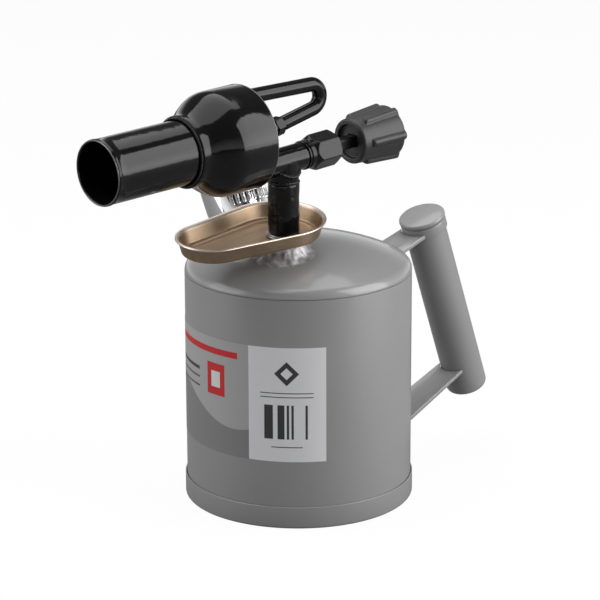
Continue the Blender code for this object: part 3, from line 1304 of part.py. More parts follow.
def build():
    grey_enamel = ((0.36, 0.36, 0.36), 0.42)
    black_enamel = ((0.012, 0.012, 0.013), 0.18)
    black_plastic = ((0.020, 0.020, 0.021), 0.45)
    gold_zinc = ((0.52, 0.36, 0.20), 0.34, 1.0)
    bright_steel = ((0.62, 0.62, 0.62), 0.30, 1.0)
    chrome = ((0.75, 0.75, 0.76), 0.10, 1.0)
    brass = ((0.72, 0.52, 0.22), 0.30, 1.0)
    cast_iron = ((0.07, 0.07, 0.07), 0.60, 0.6)
    black_rubber = ((0.02, 0.02, 0.02), 0.80)
    leather = ((0.22, 0.12, 0.06), 0.75)
    graphite = ((0.08, 0.08, 0.08), 0.85)

    shift_x, shift_y = lamp_shift()
    tank = new_axis("tank_axis", None, (shift_x, shift_y, 0))
    riser = new_axis("riser_axis", tank, (RISER_X, RISER_Y, 0))
    valve = new_axis("valve_axis", riser, (0, 0, VALVE_Z), (0, pi / 2 - VALVE_TILT, 0))
    flame = new_axis("flame_axis", riser, (0, 0, FLAME_Z), (0, pi / 2 - FLAME_TILT, 0))
    filler_z = crown_z(hypot(FILLER_X, FILLER_Y))
    filler = new_axis("filler_axis", tank, (FILLER_X, FILLER_Y, filler_z), (-FILLER_LEAN, 0, 0))
    pump = new_axis("pump_axis", tank, (PUMP_FOOT_X, 0, PUMP_FOOT_Z), (0, -PUMP_LEAN, 0))
    clamp = new_axis("tray_clamp", riser, (0, 0, TRAY_Z), (TRAY_ROLL, -TRAY_PITCH, 0))
    bpy.context.view_layer.update()

    wall = make_tank_wall(tank, grey_enamel)
    dome = make_tank_dome(tank, grey_enamel)
    make_tank_bottom(tank, grey_enamel)
    cut(dome, rod("riser_hole", riser, BOSS_STEM_R + GAP, SHOULDER_Z + WALL_R, SHOULDER_Z))
    cut(dome, rod("filler_hole", filler, NECK_R + GAP, WALL_R / 2, -WALL_R / 2))

    make_riser_boss(tank, riser, clamp, bright_steel)
    make_pickup(riser, bright_steel, brass)
    make_tray(riser, clamp, gold_zinc)
    make_tray_washer(riser, clamp, bright_steel)
    make_riser_pipe(riser, clamp, black_enamel)

    make_valve_body(riser, valve, black_enamel)
    make_needle(valve, bright_steel)
    make_spindle(valve, black_enamel)
    make_gland(valve, black_enamel, graphite)
    make_knob(valve, black_plastic)
    make_knob_screw(valve, bright_steel)

    make_shell(flame, black_enamel)
    make_flame_tube(flame, black_enamel)
    make_vaporiser_body(flame, valve, cast_iron)
    make_loop(flame, black_enamel)
    make_jet(flame, black_enamel, brass, black_enamel)
    make_mixing_tube(flame, bright_steel)

    make_filler_neck(tank, filler, bright_steel)
    make_filler_cap(filler, chrome)
    make_cap_seal(filler, black_rubber)

    barrel = make_barrel(pump, grey_enamel)
    make_barrel_collar(pump, grey_enamel)
    make_pump_knob(pump, grey_enamel)
    make_plunger(pump, bright_steel, leather, bright_steel, brass)
    lower_seat = make_strap("lower_strap", tank, pump, LOWER_STRAP_Z, LOWER_STRAP_SLOPE,
                            LOWER_STRAP_ROOT, LOWER_STRAP_TIP, BARREL_R, grey_enamel)
    make_strap("upper_strap", tank, pump, UPPER_STRAP_Z, UPPER_STRAP_SLOPE,
               UPPER_STRAP_ROOT, UPPER_STRAP_TIP, COLLAR_R, grey_enamel)
    air_port = make_air_pipe(lower_seat, wall, barrel, grey_enamel)
    make_check_valve(pump, air_port, brass, bright_steel, bright_steel)
    settle_meshes()


clear_scene()
PARTS = new_collection("petrol_blowlamp")
CUTTERS = new_collection("cutters")
build()
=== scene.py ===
"""Petrol blowlamp: the fine surfaces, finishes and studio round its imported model.

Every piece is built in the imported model's frame, in metres: +X from the flame's
mouth to the handle, +Z up. A piece's object stays at the origin. An outline lists
(radius, height) points along an axis, and a third value rounds that corner.
"""

import json
from math import asin, atan2, ceil, cos, dist, hypot, pi, radians, sin, sqrt, tan

import bmesh
import bpy
from bpy.props import FloatProperty, FloatVectorProperty, IntProperty, PointerProperty
from mathutils import Euler, Matrix, Vector, noise


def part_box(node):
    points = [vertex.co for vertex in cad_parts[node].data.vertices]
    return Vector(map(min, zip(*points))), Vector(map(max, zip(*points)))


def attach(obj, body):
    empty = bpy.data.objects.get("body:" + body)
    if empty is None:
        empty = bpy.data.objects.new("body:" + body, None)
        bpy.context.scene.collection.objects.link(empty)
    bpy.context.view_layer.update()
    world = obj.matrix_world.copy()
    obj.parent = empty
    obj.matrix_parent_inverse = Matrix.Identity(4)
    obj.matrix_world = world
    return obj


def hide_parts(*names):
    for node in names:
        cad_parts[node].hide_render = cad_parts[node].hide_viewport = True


bl_info = {
    "name": "Petrol Blowlamp",
    "version": (1, 0, 0),
    "blender": (4, 5, 0),
    "location": "View3D > Sidebar > Blowlamp",
    "description": "Dresses the packed blowlamp with fine pieces, finishes and a studio",
    "category": "Object",
}

CLEAR = 0.0003

# Steps round a turned piece
TANK_STEPS = 220
BURNER_STEPS = 144
HANDLE_STEPS = 128
TURNED_STEPS = 96
SMALL_STEPS = 48

# Tank and dome
WALL_R = 0.0566
WALL_T = 0.0008
WALL_FOOT_Z = 0.0012
SHOULDER_Z = 0.1169
KNUCKLE_R = 0.0055
CREASE_R = 0.0539
CREASE_Z = SHOULDER_Z + sqrt(KNUCKLE_R**2 - (KNUCKLE_R - WALL_R + CREASE_R)**2)
CROWN_RISE = 0.0120
CROWN_BALL_R = (CREASE_R**2 + CROWN_RISE**2) / (2 * CROWN_RISE)
CROWN_STEPS = 36
DOME_T = 0.0009
TONGUE_DEPTH = 0.0050
SKIRT_R = 0.0575
SKIRT_T = 0.0006
SKIRT_TOP_Z = 0.0113

# Riser, tray and valve
RISER_AT = (-0.0204, -0.0120)
RISER_R = 0.00765
RISER_FOOT_Z = 0.1424
RISER_TOP_Z = 0.16685
FUEL_BORE_R = 0.0028
SPIGOT_R = 0.0050
SPIGOT_Z = 0.1492
SOCKET_R = SPIGOT_R + CLEAR
TRAY_DEPTH = 0.0084
TRAY_T = 0.0006
VALVE_Z = 0.1773
KNOB_FRONT = 0.0440
KNOB_LENGTH = 0.0275

# Burner
NECK_R = 0.0175
SHELL_REAR = -0.0260
MOUTH = -0.1142
LOOP_R = 0.0036


def moved(x, y, z):
    return Matrix.Translation((x, y, z))


def turn(degrees, axis):
    return Matrix.Rotation(radians(degrees), 4, axis)


def crown_z(distance):
    """Height of the dome's outer skin at a distance from the tank's axis."""
    return CREASE_Z + CROWN_RISE - CROWN_BALL_R + sqrt(CROWN_BALL_R**2 - distance**2)


# The lamp's own axes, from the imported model
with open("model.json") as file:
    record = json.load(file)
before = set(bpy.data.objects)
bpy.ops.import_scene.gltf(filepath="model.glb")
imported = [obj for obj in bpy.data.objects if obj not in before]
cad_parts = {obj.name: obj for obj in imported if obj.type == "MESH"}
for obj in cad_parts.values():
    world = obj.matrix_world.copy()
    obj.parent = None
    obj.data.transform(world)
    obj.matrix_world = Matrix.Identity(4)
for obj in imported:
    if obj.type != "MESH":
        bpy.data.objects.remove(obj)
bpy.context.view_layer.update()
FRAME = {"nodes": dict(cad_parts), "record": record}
SLOTS = {entry["node"]: entry["material_slot"] for entry in FRAME["record"]["subparts"]}
OWNERS = {node: body for body, nodes in FRAME["record"]["behaviour"]["bodies"].items()
          for node in nodes}
WALL_LOW, WALL_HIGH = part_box("tank_wall")
TANK_X = (WALL_LOW.x + WALL_HIGH.x) / 2
TANK_Y = (WALL_LOW.y + WALL_HIGH.y) / 2
TANK = moved(TANK_X, TANK_Y, 0)
RISER = TANK @ moved(*RISER_AT, 0)
CLAMP = RISER @ moved(0, 0, 0.1395) @ Euler((radians(4.8), radians(-4.3), 0)).to_matrix().to_4x4()
TRAY_SEAT = CLAMP @ moved(-0.0009, 0.0043, 0) @ turn(-4.5, "Z")
VALVE = RISER @ moved(0, 0, VALVE_Z) @ turn(87.0, "Y")
FLAME = RISER @ moved(0, 0, 0.1943) @ turn(88.2, "Y")
LEG = FLAME @ moved(0, 0, -0.0090) @ turn(-10.5, "Y")
PUMP = TANK @ moved(0.1219, 0, 0.0275) @ turn(-19.5, "Y")
FILLER_AT = (-0.0040, 0.0339)
FILLER = TANK @ moved(*FILLER_AT, crown_z(hypot(*FILLER_AT))) @ turn(-27, "X")


def skin_z(x, y):
    """Height of the dome's outer skin over a place in the frame."""
    return crown_z(hypot(x - TANK_X, y - TANK_Y))


def clamp_z(x, y, height):
    """Level of the leaning tray's plane, at a height above the tray's underside."""
    lean = CLAMP.col[2]
    seat = CLAMP.translation
    return seat.z + (height - lean.x * (x - seat.x) - lean.y * (y - seat.y)) / lean.z


# Settings that a user would change

def length(label, value, note):
    return FloatProperty(name=label, description=note, default=value, unit="LENGTH", precision=5)


def colour(label, value, note):
    return FloatVectorProperty(name=label, description=note, default=value, subtype="COLOR")


def angle(label, degrees, note):
    return FloatProperty(name=label, description=note, default=radians(degrees),
                         subtype="ANGLE")


def count(label, value, least, most, note):
    return IntProperty(name=label, description=note, default=value, min=least, max=most)


def power(label, value, note):
    return FloatProperty(name=label, description=note, default=value, unit="POWER")


class TankSettings(bpy.types.PropertyGroup):
    enamel: colour("Enamel", (0.285, 0.285, 0.288), "Colour of the grey enamel")
    peel: length("Orange Peel", 0.00005, "Depth of the sprayed texture")
    crease: length("Crease Rounding", 0.0007, "Radius where the crown meets its knuckle")
    weld_lump: length("Weld Lumps", 0.00055, "How uneven the bead round the riser is")


class LabelSettings(bpy.types.PropertyGroup):
    low: length("Lower Edge", 0.0347, "Height of the labels' lower edge")
    high: length("Upper Edge", 0.0928, "Height of the labels' upper edge")
    paper: colour("Paper", (0.80, 0.80, 0.82), "Colour of the pale label")
    tint: colour("Tint", (0.40, 0.40, 0.40), "Colour of the grey label")
    accent: colour("Accent", (0.56, 0.012, 0.016), "Colour of the bright blocks")


class TraySettings(bpy.types.PropertyGroup):
    sheet: colour("Sheet", (0.42, 0.305, 0.205), "Colour of the passivated sheet")
    # The rim colour is a painted highlight, laid along the tray's top edge and rolled bead.
    rim: colour("Rim", (0.80, 0.69, 0.60), "Colour of the worn rim")
    points: count("Points", 220, 40, 600, "Points round the tray's outline")


class ValveSettings(bpy.types.PropertyGroup):
    ribs: count("Knob Ribs", 6, 3, 16, "Grip ribs round the knob")
    rib_height: length("Rib Height", 0.0016, "How far a rib stands out")
    rib_phase: angle("Rib Phase", 30, "Turn of the ribs round the knob")
    nut_flats: length("Gland Nut", 0.0156, "Width across the nut's flats")
    nut_turn: angle("Gland Nut Turn", 15, "How far the nut is screwed on")


class BurnerSettings(bpy.types.PropertyGroup):
    shell_r: length("Shell Radius", 0.0255, "Radius of the wind shield")
    tube_r: length("Flame Tube Radius", 0.01555, "Radius of the flame tube")
    enamel: colour("Black Enamel", (0.0035, 0.0035, 0.0037), "Colour of the black enamel")


class FillerSettings(bpy.types.PropertyGroup):
    groups: count("Rib Groups", 2, 1, 8, "Groups of grip ribs on the cap")
    per_group: count("Ribs in a Group", 9, 1, 12, "Grip ribs in each group")
    pitch: angle("Rib Pitch", 11, "Angle from one rib to the next")
    phase: angle("Group Phase", 266, "Middle of the first group of ribs")


class HandleSettings(bpy.types.PropertyGroup):
    grip_r: length("Grip Radius", 0.01085, "Radius of the handle's tube")
    disc_t: length("Pump Knob", 0.0025, "Thickness of the pump's knob")


class StudioSettings(bpy.types.PropertyGroup):
    room: colour("Room", (0.11, 0.11, 0.113), "Colour of the light from the room")
    right: power("Right Light", 17.0, "Power of the lamp on the right")
    left: power("Left Light", 7.0, "Power of the lamp on the left")
    top: power("Top Light", 11.0, "Power of the lamp overhead")


# Node trees written as expressions

class Wire:
    """One output socket of a node tree, which can stand in a sum."""

    def __init__(self, tree, socket):
        self.tree = tree
        self.socket = socket

    def other(self, key):
        return Wire(self.tree, self.socket.node.outputs[key])

    def __add__(self, value):
        return self.tree.maths("ADD", self, value)

    __radd__ = __add__

    def __sub__(self, value):
        return self.tree.maths("SUBTRACT", self, value)

    def __rsub__(self, value):
        return self.tree.maths("SUBTRACT", value, self)

    def __mul__(self, value):
        return self.tree.maths("MULTIPLY", self, value)

    __rmul__ = __mul__

    def __truediv__(self, value):
        return self.tree.maths("DIVIDE", self, value)

    def __mod__(self, value):
        return self.tree.maths("MODULO", self, value)

    def __gt__(self, value):
        return self.tree.maths("GREATER_THAN", self, value)

    def __lt__(self, value):
        return self.tree.maths("LESS_THAN", self, value)

    def __abs__(self):
        return self.tree.maths("ABSOLUTE", self)

    def floored(self):
        return self.tree.maths("FLOOR", self)

    def within(self, low, high):
        return (self > low) * (self < high)


class Tree:
    """A node tree with short ways to add and to join its nodes."""

    def __init__(self, tree):
        self.tree = tree

    def join(self, socket, value):
        if isinstance(value, Wire):
            self.tree.links.new(value.socket, socket)
        elif socket.type == "RGBA":
            socket.default_value = (*tuple(value)[:3], 1.0)
        else:
            socket.default_value = value

    def node(self, kind, inputs=None, output=0, **settings):
        made = self.tree.nodes.new(kind)
        for key, value in settings.items():
            setattr(made, key, value)
        for key, value in (inputs or {}).items():
            self.join(made.inputs[key], value)
        return Wire(self, made.outputs[output])

    def maths(self, operation, *values):
        return self.node("ShaderNodeMath", dict(enumerate(values)), operation=operation)


def shade(tint, factor):
    return tuple(min(1.0, channel * factor) for channel in tint)


class Finish(Tree):
    """A material with one Principled shader and helpers that add nodes to it."""

    def __init__(self, name, tint, roughness, metallic=0.0, coat=0.0):
        self.material = bpy.data.materials.new(name)
        self.material.use_nodes = True
        super().__init__(self.material.node_tree)
        self.shader = self.tree.nodes["Principled BSDF"]
        self.tint = tint
        self.feed("Coat Roughness", 0.06)
        self.feed("Base Color", tint)
        self.feed("Roughness", roughness)
        self.feed("Metallic", metallic)
        self.feed("Coat Weight", coat)
        self.material.diffuse_color = (*tuple(tint)[:3], 1.0)

    def feed(self, name, value):
        self.join(self.shader.inputs[name], value)

    def place(self):
        return self.node("ShaderNodeTexCoord", output="Object")

    def split(self, vector):
        first = self.node("ShaderNodeSeparateXYZ", {0: vector})
        return [first.other(i) for i in range(3)]

    def cloud(self, scale, detail=2.0, roughness=0.5, stretch=(1, 1, 1)):
        """Noise on the object's coordinates."""
        spot = self.node("ShaderNodeMapping", {"Vector": self.place(), "Scale": stretch})
        return self.node("ShaderNodeTexNoise", {"Vector": spot, "Scale": scale,
                                                "Detail": detail, "Roughness": roughness})

    def ramp(self, value, stops):
        made = self.node("ShaderNodeValToRGB", {"Fac": value})
        elements = made.socket.node.color_ramp.elements
        while len(elements) < len(stops):
            elements.new(1.0)
        for element, (place, level) in zip(elements, stops):
            element.position = place
            element.color = (level, level, level, 1.0)
        return made

    def mixed(self, share, first, second):
        return self.node("ShaderNodeMix", {0: share, 6: first, 7: second}, 2,
                         data_type="RGBA")

    def vary(self, share, low, high):
        """The finish's own colour, darker and lighter with a share."""
        return self.mixed(share, shade(self.tint, low), shade(self.tint, high))

    def dent(self, height, distance, under=None):
        inputs = {"Height": height, "Distance": distance, "Strength": 1.0}
        if under is not None:
            inputs["Normal"] = under
        bump = self.node("ShaderNodeBump", inputs)
        self.feed("Normal", bump)
        return bump


# Finishes

def grey_enamel(settings):
    """Sprayed satin enamel: faint orange peel and slow changes of depth."""
    finish = Finish("grey_enamel_fine", settings.enamel, 0.36, 0.0, 0.62)
    finish.feed("Coat Roughness", 0.10)
    fine = finish.cloud(900.0)
    finish.feed("Base Color", finish.vary(finish.cloud(22.0), 0.93, 1.06))
    finish.feed("Roughness", 0.32 + 0.10 * fine)
    finish.dent(fine, settings.peel)
    return finish.material


def black_enamel(name, settings, roughness, lump):
    """Thick gloss enamel that has run a little, so that its reflections waver."""
    finish = Finish(name, settings.enamel, roughness, 0.0, 0.06)
    finish.feed("Specular IOR Level", 0.28)
    peel = finish.cloud(620.0)
    finish.feed("Base Color", finish.vary(finish.cloud(1900.0, 1.0), 1.0, 1.9))
    finish.feed("Roughness", roughness * 0.8 + peel * (roughness * 0.4))
    runs = finish.dent(finish.cloud(95.0, 2.0, 0.45), lump)
    finish.dent(peel, lump * 0.10, runs)
    return finish.material


def knob_plastic():
    """Satin moulding with a fine spark-eroded grain."""
    finish = Finish("knob_plastic", (0.026, 0.026, 0.027), 0.36)
    grain = finish.cloud(2600.0)
    finish.feed("Base Color", finish.mixed(finish.cloud(120.0), (0.022, 0.022, 0.023),
                                           (0.032, 0.032, 0.033)))
    finish.feed("Roughness", 0.34 + 0.14 * grain)
    finish.dent(grain, 0.00004)
    return finish.material


def tray_sheet(settings):
    """Yellow passivated sheet with drawing streaks, and a painted highlight that lightens its
    rim.
    """
    finish = Finish("tray_sheet", settings.sheet, 0.30, 1.0)
    streaks = finish.cloud(1.0, 4.0, 0.6, (30.0, 420.0, 260.0))
    x, y, z = finish.split(finish.place())
    lean = CLAMP.col[2]
    foot = Vector(lean[:3]).dot(CLAMP.translation)
    height = x * lean.x + y * lean.y + z * lean.z - foot
    highlight_depth, highlight_fade = 0.0016, 0.0014
    # Painted highlight: the top of the wall and the rim bead are lightened towards the rim
    # colour.
    highlit = finish.ramp((height - TRAY_DEPTH + highlight_depth) / highlight_fade,
                       ((0.0, 0.0), (0.45, 0.35), (1.0, 1.0)))
    body = finish.mixed(finish.cloud(55.0, 3.0) * 0.6, finish.vary(streaks, 0.62, 1.22),
                        shade(settings.sheet, 0.50))
    finish.feed("Base Color", finish.mixed(highlit, body, settings.rim))
    finish.feed("Roughness", 0.28 + 0.20 * streaks)
    finish.dent(streaks, 0.00004)
    return finish.material


def weld_metal():
    """Fresh weld: silvery and lumpy, with painted shade in its hollows and a painted highlight on
    its crests.
    """
    finish = Finish("weld_metal", (0.50, 0.49, 0.48), 0.42, 0.45)
    lumps = finish.cloud(260.0, 3.0)
    # Painted shade and highlight: the colour follows the lumps' height, dark in the hollows and
    # light on the crests.
    finish.feed("Base Color", finish.mixed(finish.ramp(lumps, ((0.30, 0.0), (0.62, 1.0))),
                                           (0.30, 0.29, 0.30), (0.66, 0.66, 0.68)))
    finish.feed("Roughness", 0.34 + 0.20 * lumps)
    finish.dent(lumps, 0.00022)
    return finish.material


def grained(name, tint, roughness, scale, depth, shades, swing, metallic=0.0):
    """A plain finish whose colour, gloss and surface follow one cloud."""
    finish = Finish(name, tint, roughness, metallic)
    grain = finish.cloud(scale, 4.0, 0.6)
    finish.feed("Base Color", finish.vary(grain, *shades))
    finish.feed("Roughness", roughness * swing[0] + grain * (roughness * swing[1]))
    finish.dent(grain, depth)
    return finish.material


def bright_metal(name, tint, roughness, scale=300.0, depth=0.00002, metallic=1.0):
    """Bare or plated metal with small marks of handling."""
    return grained(name, tint, roughness, scale, depth, (0.88, 1.08), (0.75, 0.5), metallic)


def soft_dark(name, tint, roughness, scale):
    """Rubber, leather or packing: dull, with a close grain."""
    return grained(name, tint, roughness, scale, 0.00006, (0.7, 1.3), (0.85, 0.25))


def sheet_place(finish):
    """The label's own coordinates: u from 0 to 1 round the tank, v from 0 to 1 up."""
    return finish.split(finish.node("ShaderNodeUVMap", uv_map="sheet"))[:2]


def inside_boxes(u, v, *boxes):
    """One inside any of the boxes (left, right, low, high), which lie apart."""
    total = 0.0
    for left, right, low, high in boxes:
        total = u.within(left, right) * v.within(low, high) + total
    return total


def pale_label(settings):
    """Pale sheet with a block of dark bars, thin rules and a plain lozenge."""
    finish = Finish("pale_label", settings.paper, 0.42)
    u, v = sheet_place(finish)
    pick = finish.node("ShaderNodeTexWhiteNoise", {"W": (u * 34.0).floored()},
                       noise_dimensions="1D")
    bars = (pick > 0.47) * inside_boxes(u, v, (0.21, 0.79, 0.20, 0.50))
    rules = inside_boxes(u, v, (0.16, 0.84, 0.565, 0.573), (0.16, 0.84, 0.600, 0.608),
                         (0.30, 0.70, 0.125, 0.133))
    spread = abs(u - 0.5) * 0.665 + abs(v - 0.775)
    lozenge = spread.within(0.052, 0.105)
    grain = finish.cloud(1400.0)
    finish.feed("Base Color", finish.mixed(bars + rules + lozenge,
                                           finish.vary(grain, 0.97, 1.02),
                                           (0.035, 0.035, 0.036)))
    finish.feed("Roughness", 0.38 + 0.10 * grain)
    finish.dent(grain, 0.00001)
    return finish.material


def grey_label(settings):
    """Grey sheet with a bright stripe and a hollow block over a darker field."""
    finish = Finish("grey_label", settings.tint, 0.40)
    u, v = sheet_place(finish)
    field = v < (0.40 + 0.16 * finish.maths("SINE", u * 5.2))
    block = inside_boxes(u, v, (0.70, 0.84, 0.50, 0.78))
    stripe = inside_boxes(u, v, (0.08, 0.93, 0.86, 0.915))
    window = inside_boxes(u, v, (0.735, 0.805, 0.57, 0.71))
    rules = inside_boxes(u, v, (0.14, 0.62, 0.67, 0.70), (0.14, 0.62, 0.60, 0.615),
                         (0.30, 0.62, 0.52, 0.535))
    sheet = finish.vary(field, 1.0, 0.56)
    for share, ink in ((rules, (0.04, 0.04, 0.04)),
                       ((block + stripe) * (1.0 - window), settings.accent),
                       (block * window, (0.72, 0.72, 0.70))):
        sheet = finish.mixed(share, sheet, ink)
    grain = finish.cloud(1200.0)
    finish.feed("Base Color", sheet)
    finish.feed("Roughness", 0.36 + 0.10 * grain)
    finish.dent(grain, 0.00001)
    return finish.material


# Shapes

def rounded(points, steps=4, closed=False):
    """Round an outline's corners; a point is (r, z) or (r, z, radius)."""
    last = len(points) - 1
    out = []
    for i, point in enumerate(points):
        corner = Vector(point[:2])
        radius = sum(point[2:])
        if radius <= 0 or (not closed and i in (0, last)):
            out.append(tuple(corner))
            continue
        before = Vector(points[i - 1][:2]) - corner
        after = Vector(points[(i + 1) % len(points)][:2]) - corner
        half = before.angle(after) / 2
        reach = min(radius / tan(half), before.length * 0.49, after.length * 0.49)
        radius = reach * tan(half)
        middle = (before.normalized() + after.normalized()).normalized()
        centre = corner + middle * (radius / sin(half))
        start = corner + before.normalized() * reach - centre
        end = corner + after.normalized() * reach - centre
        first = atan2(start.y, start.x)
        swing = (atan2(end.y, end.x) - first + pi) % (2 * pi) - pi
        out += curve_points(centre.x, centre.y, radius, first, first + swing, steps)
    return out


def filled(outline, spacing, closed=False):
    """Put extra points on an outline's or a path's long runs."""
    out = []
    for start, end in zip(outline, outline[1:] + outline[:1] if closed else outline[1:]):
        parts = max(1, ceil(dist(start, end) / spacing))
        out += [tuple(a + (b - a) * k / parts for a, b in zip(start, end)) for k in range(parts)]
    return out if closed else out + [outline[-1]]


def curve_points(centre_r, centre_z, radius, start, end, steps):
    angles = [start + (end - start) * i / steps for i in range(steps + 1)]
    return [(centre_r + radius * cos(a), centre_z + radius * sin(a)) for a in angles]


def circle(place, radius, z, points, wave=0.0):
    """Points round an axis, at a height that may rise and fall twice on the way."""
    angles = [2 * pi * i / points for i in range(points)]
    return [place @ Vector((radius * cos(a), radius * sin(a), z + wave * cos(2 * a)))
            for a in angles]


def skin(bm, rings, closed):
    """Join a row of rings; a ring of one vertex is a pole."""
    for low, high in zip(rings, rings[1:] + rings[:1] if closed else rings[1:]):
        size = max(len(low), len(high))
        for i in range(size if size > 1 else 0):
            j = (i + 1) % size
            if len(low) == 1:
                bm.faces.new((low[0], high[j], high[i]))
            elif len(high) == 1:
                bm.faces.new((low[i], low[j], high[0]))
            else:
                bm.faces.new((low[i], low[j], high[j], high[i]))


def smoothed(mesh, sharp=38):
    mesh.shade_smooth()
    mesh.set_sharp_from_angle(angle=radians(sharp))
    return mesh


def shown(name, mesh):
    obj = bpy.data.objects.new(name, mesh)
    bpy.context.scene.collection.objects.link(obj)
    return obj


def shown_from(bm, name, sharp=38):
    """An object with the faces of a bmesh, which is used up."""
    bmesh.ops.recalc_face_normals(bm, faces=bm.faces)
    mesh = bpy.data.meshes.new(name)
    bm.to_mesh(mesh)
    bm.free()
    return shown(name, smoothed(mesh, sharp))


def turned(name, points, place, steps=TURNED_STEPS, closed=False, relief=None, corners=4,
           spacing=None):
    """Turn an outline about the place's Z; relief(angle, r, z) may change a radius."""
    outline = rounded(points, corners, closed)
    if spacing:
        outline = filled(outline, spacing, closed)
    bm = bmesh.new()
    rings = []
    for r, z in outline:
        ring = []
        for i in range(steps if r > 1e-6 else 1):
            around = 2 * pi * i / steps
            out = relief(around, r, z) if relief and r > 1e-6 else r
            ring.append(bm.verts.new(place @ Vector((out * cos(around), out * sin(around), z))))
        rings.append(ring)
    skin(bm, rings, closed)
    return shown_from(bm, name)


def polygon_radius(around, sides, flats, crispness=60.0):
    """Radius of a rounded regular polygon, for nuts and squares."""
    facing = [cos(around - 2 * pi * k / sides) for k in range(sides)]
    return flats / 2 / sum(f**crispness for f in facing if f > 0)**(1 / crispness)


def wavering(depth, scale):
    """A relief that makes a turned piece slightly uneven, as thick paint does."""
    def relief(around, radius, z):
        spot = Vector((cos(around) * radius, sin(around) * radius, z))
        return radius * (1 + depth * noise.noise(spot * scale))
    return relief


def faceted(sides, flats, core, start=-1.0, phase=0.0, crispness=60.0):
    """A relief that cuts flats on what stands out past a core, from a height on."""
    def relief(around, radius, z):
        if radius <= core or z < start:
            return radius
        return min(radius, polygon_radius(around - phase, sides, flats, crispness))
    return relief


def evaluated(obj):
    return bpy.data.meshes.new_from_object(
        obj.evaluated_get(bpy.context.evaluated_depsgraph_get()))


def fitted(obj, operation, other):
    """A Boolean with another object, which is used up."""
    step = obj.modifiers.new("fit", "BOOLEAN")
    step.operation = operation
    step.solver = "EXACT"
    step.object = other
    mesh = evaluated(obj)
    obj.modifiers.clear()
    obj.data = smoothed(mesh)
    bpy.data.objects.remove(other, do_unlink=True)


def dressed(obj, material, node, *nodes):
    """Give a finished piece its material and a CAD node's body, and hide the nodes that it
    replaces.
    """
    if obj.matrix_world != Matrix.Identity(4):
        raise ValueError(obj.name + " isn't at the origin")
    body, slot = OWNERS[node], SLOTS[node]
    obj.data.materials.clear()
    obj.data.materials.append(material)
    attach(obj, body)
    if nodes:
        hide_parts(*nodes)


def fine(node, material, *shape, **details):
    """Replace a CAD node with a turned piece."""
    dressed(turned(node + "_fine", *shape, **details), material, node, node)


def repaint(material, *nodes):
    for name in nodes:
        node = FRAME["nodes"][name]
        node.data.materials.clear()
        node.data.materials.append(material)


# Geometry node trees

class Recipe(Tree):
    """A geometry node tree whose sizes are named inputs."""

    def __init__(self, name, sizes):
        super().__init__(bpy.data.node_groups.new(name, "GeometryNodeTree"))
        face = self.tree.interface
        face.new_socket("Geometry", in_out="INPUT", socket_type="NodeSocketGeometry")
        for label, value in sizes.items():
            kind = "NodeSocketInt" if isinstance(value, int) else "NodeSocketFloat"
            face.new_socket(label, in_out="INPUT", socket_type=kind).default_value = value
        face.new_socket("Geometry", in_out="OUTPUT", socket_type="NodeSocketGeometry")
        self.start = self.node("NodeGroupInput")
        self.sizes = [self.start.other(label) for label in sizes]

    def vector(self, **parts):
        return self.node("ShaderNodeCombineXYZ", parts)

    def shifted(self, geometry, **parts):
        return self.node("GeometryNodeTransform",
                         {"Geometry": geometry, "Translation": self.vector(**parts)})

    def close(self, geometry, material):
        solid = self.node("GeometryNodeRealizeInstances", {"Geometry": geometry})
        smooth = self.node("GeometryNodeSetShadeSmooth", {"Geometry": solid})
        painted = self.node("GeometryNodeSetMaterial",
                            {"Geometry": smooth, "Material": material})
        self.join(self.tree.nodes.new("NodeGroupOutput").inputs[0], painted)
        return self.tree


def grown(name, start, tree, values, place=None):
    """Bake a recipe on a start object into a plain mesh piece at the origin."""
    step = start.modifiers.new("recipe", "NODES")
    step.node_group = tree
    for item in tree.interface.items_tree:
        if item.item_type == "SOCKET" and item.in_out == "INPUT" and item.name in values:
            step[item.identifier] = values[item.name]
    mesh = evaluated(start)
    bpy.data.objects.remove(start, do_unlink=True)
    mesh.name = name
    if place is not None:
        mesh.transform(place)
    return shown(name, mesh)


def path_object(name, points, cyclic):
    data = bpy.data.curves.new(name, "CURVE")
    data.dimensions = "3D"
    spline = data.splines.new("POLY")
    spline.points.add(len(points) - 1)
    for target, point in zip(spline.points, points):
        target.co = (*point, 1.0)
    spline.use_cyclic_u = cyclic
    return shown(name, data)


def bead_recipe(material):
    """Overlapping drops of weld along a path."""
    recipe = Recipe("weld_drops", {"Drops": 40, "Drop Radius": 0.0012, "Flatness": 0.7,
                                   "Seed": 3})
    drops, radius, flatness, seed = recipe.sizes
    points = recipe.node("GeometryNodeCurveToPoints", {"Curve": recipe.start, "Count": drops})
    ball = recipe.node("GeometryNodeMeshUVSphere",
                       {"Segments": 14, "Rings": 9, "Radius": radius})
    drop = recipe.node("GeometryNodeTransform", {
        "Geometry": ball, "Scale": recipe.vector(X=1.0, Y=flatness, Z=flatness)})
    scale = recipe.node("FunctionNodeRandomValue", {2: 0.86, 3: 1.14, 8: seed}, 1,
                        data_type="FLOAT")
    placed = recipe.node("GeometryNodeInstanceOnPoints", {
        "Points": points, "Instance": drop, "Rotation": points.other("Rotation"),
        "Scale": scale})
    return recipe.close(placed, material)


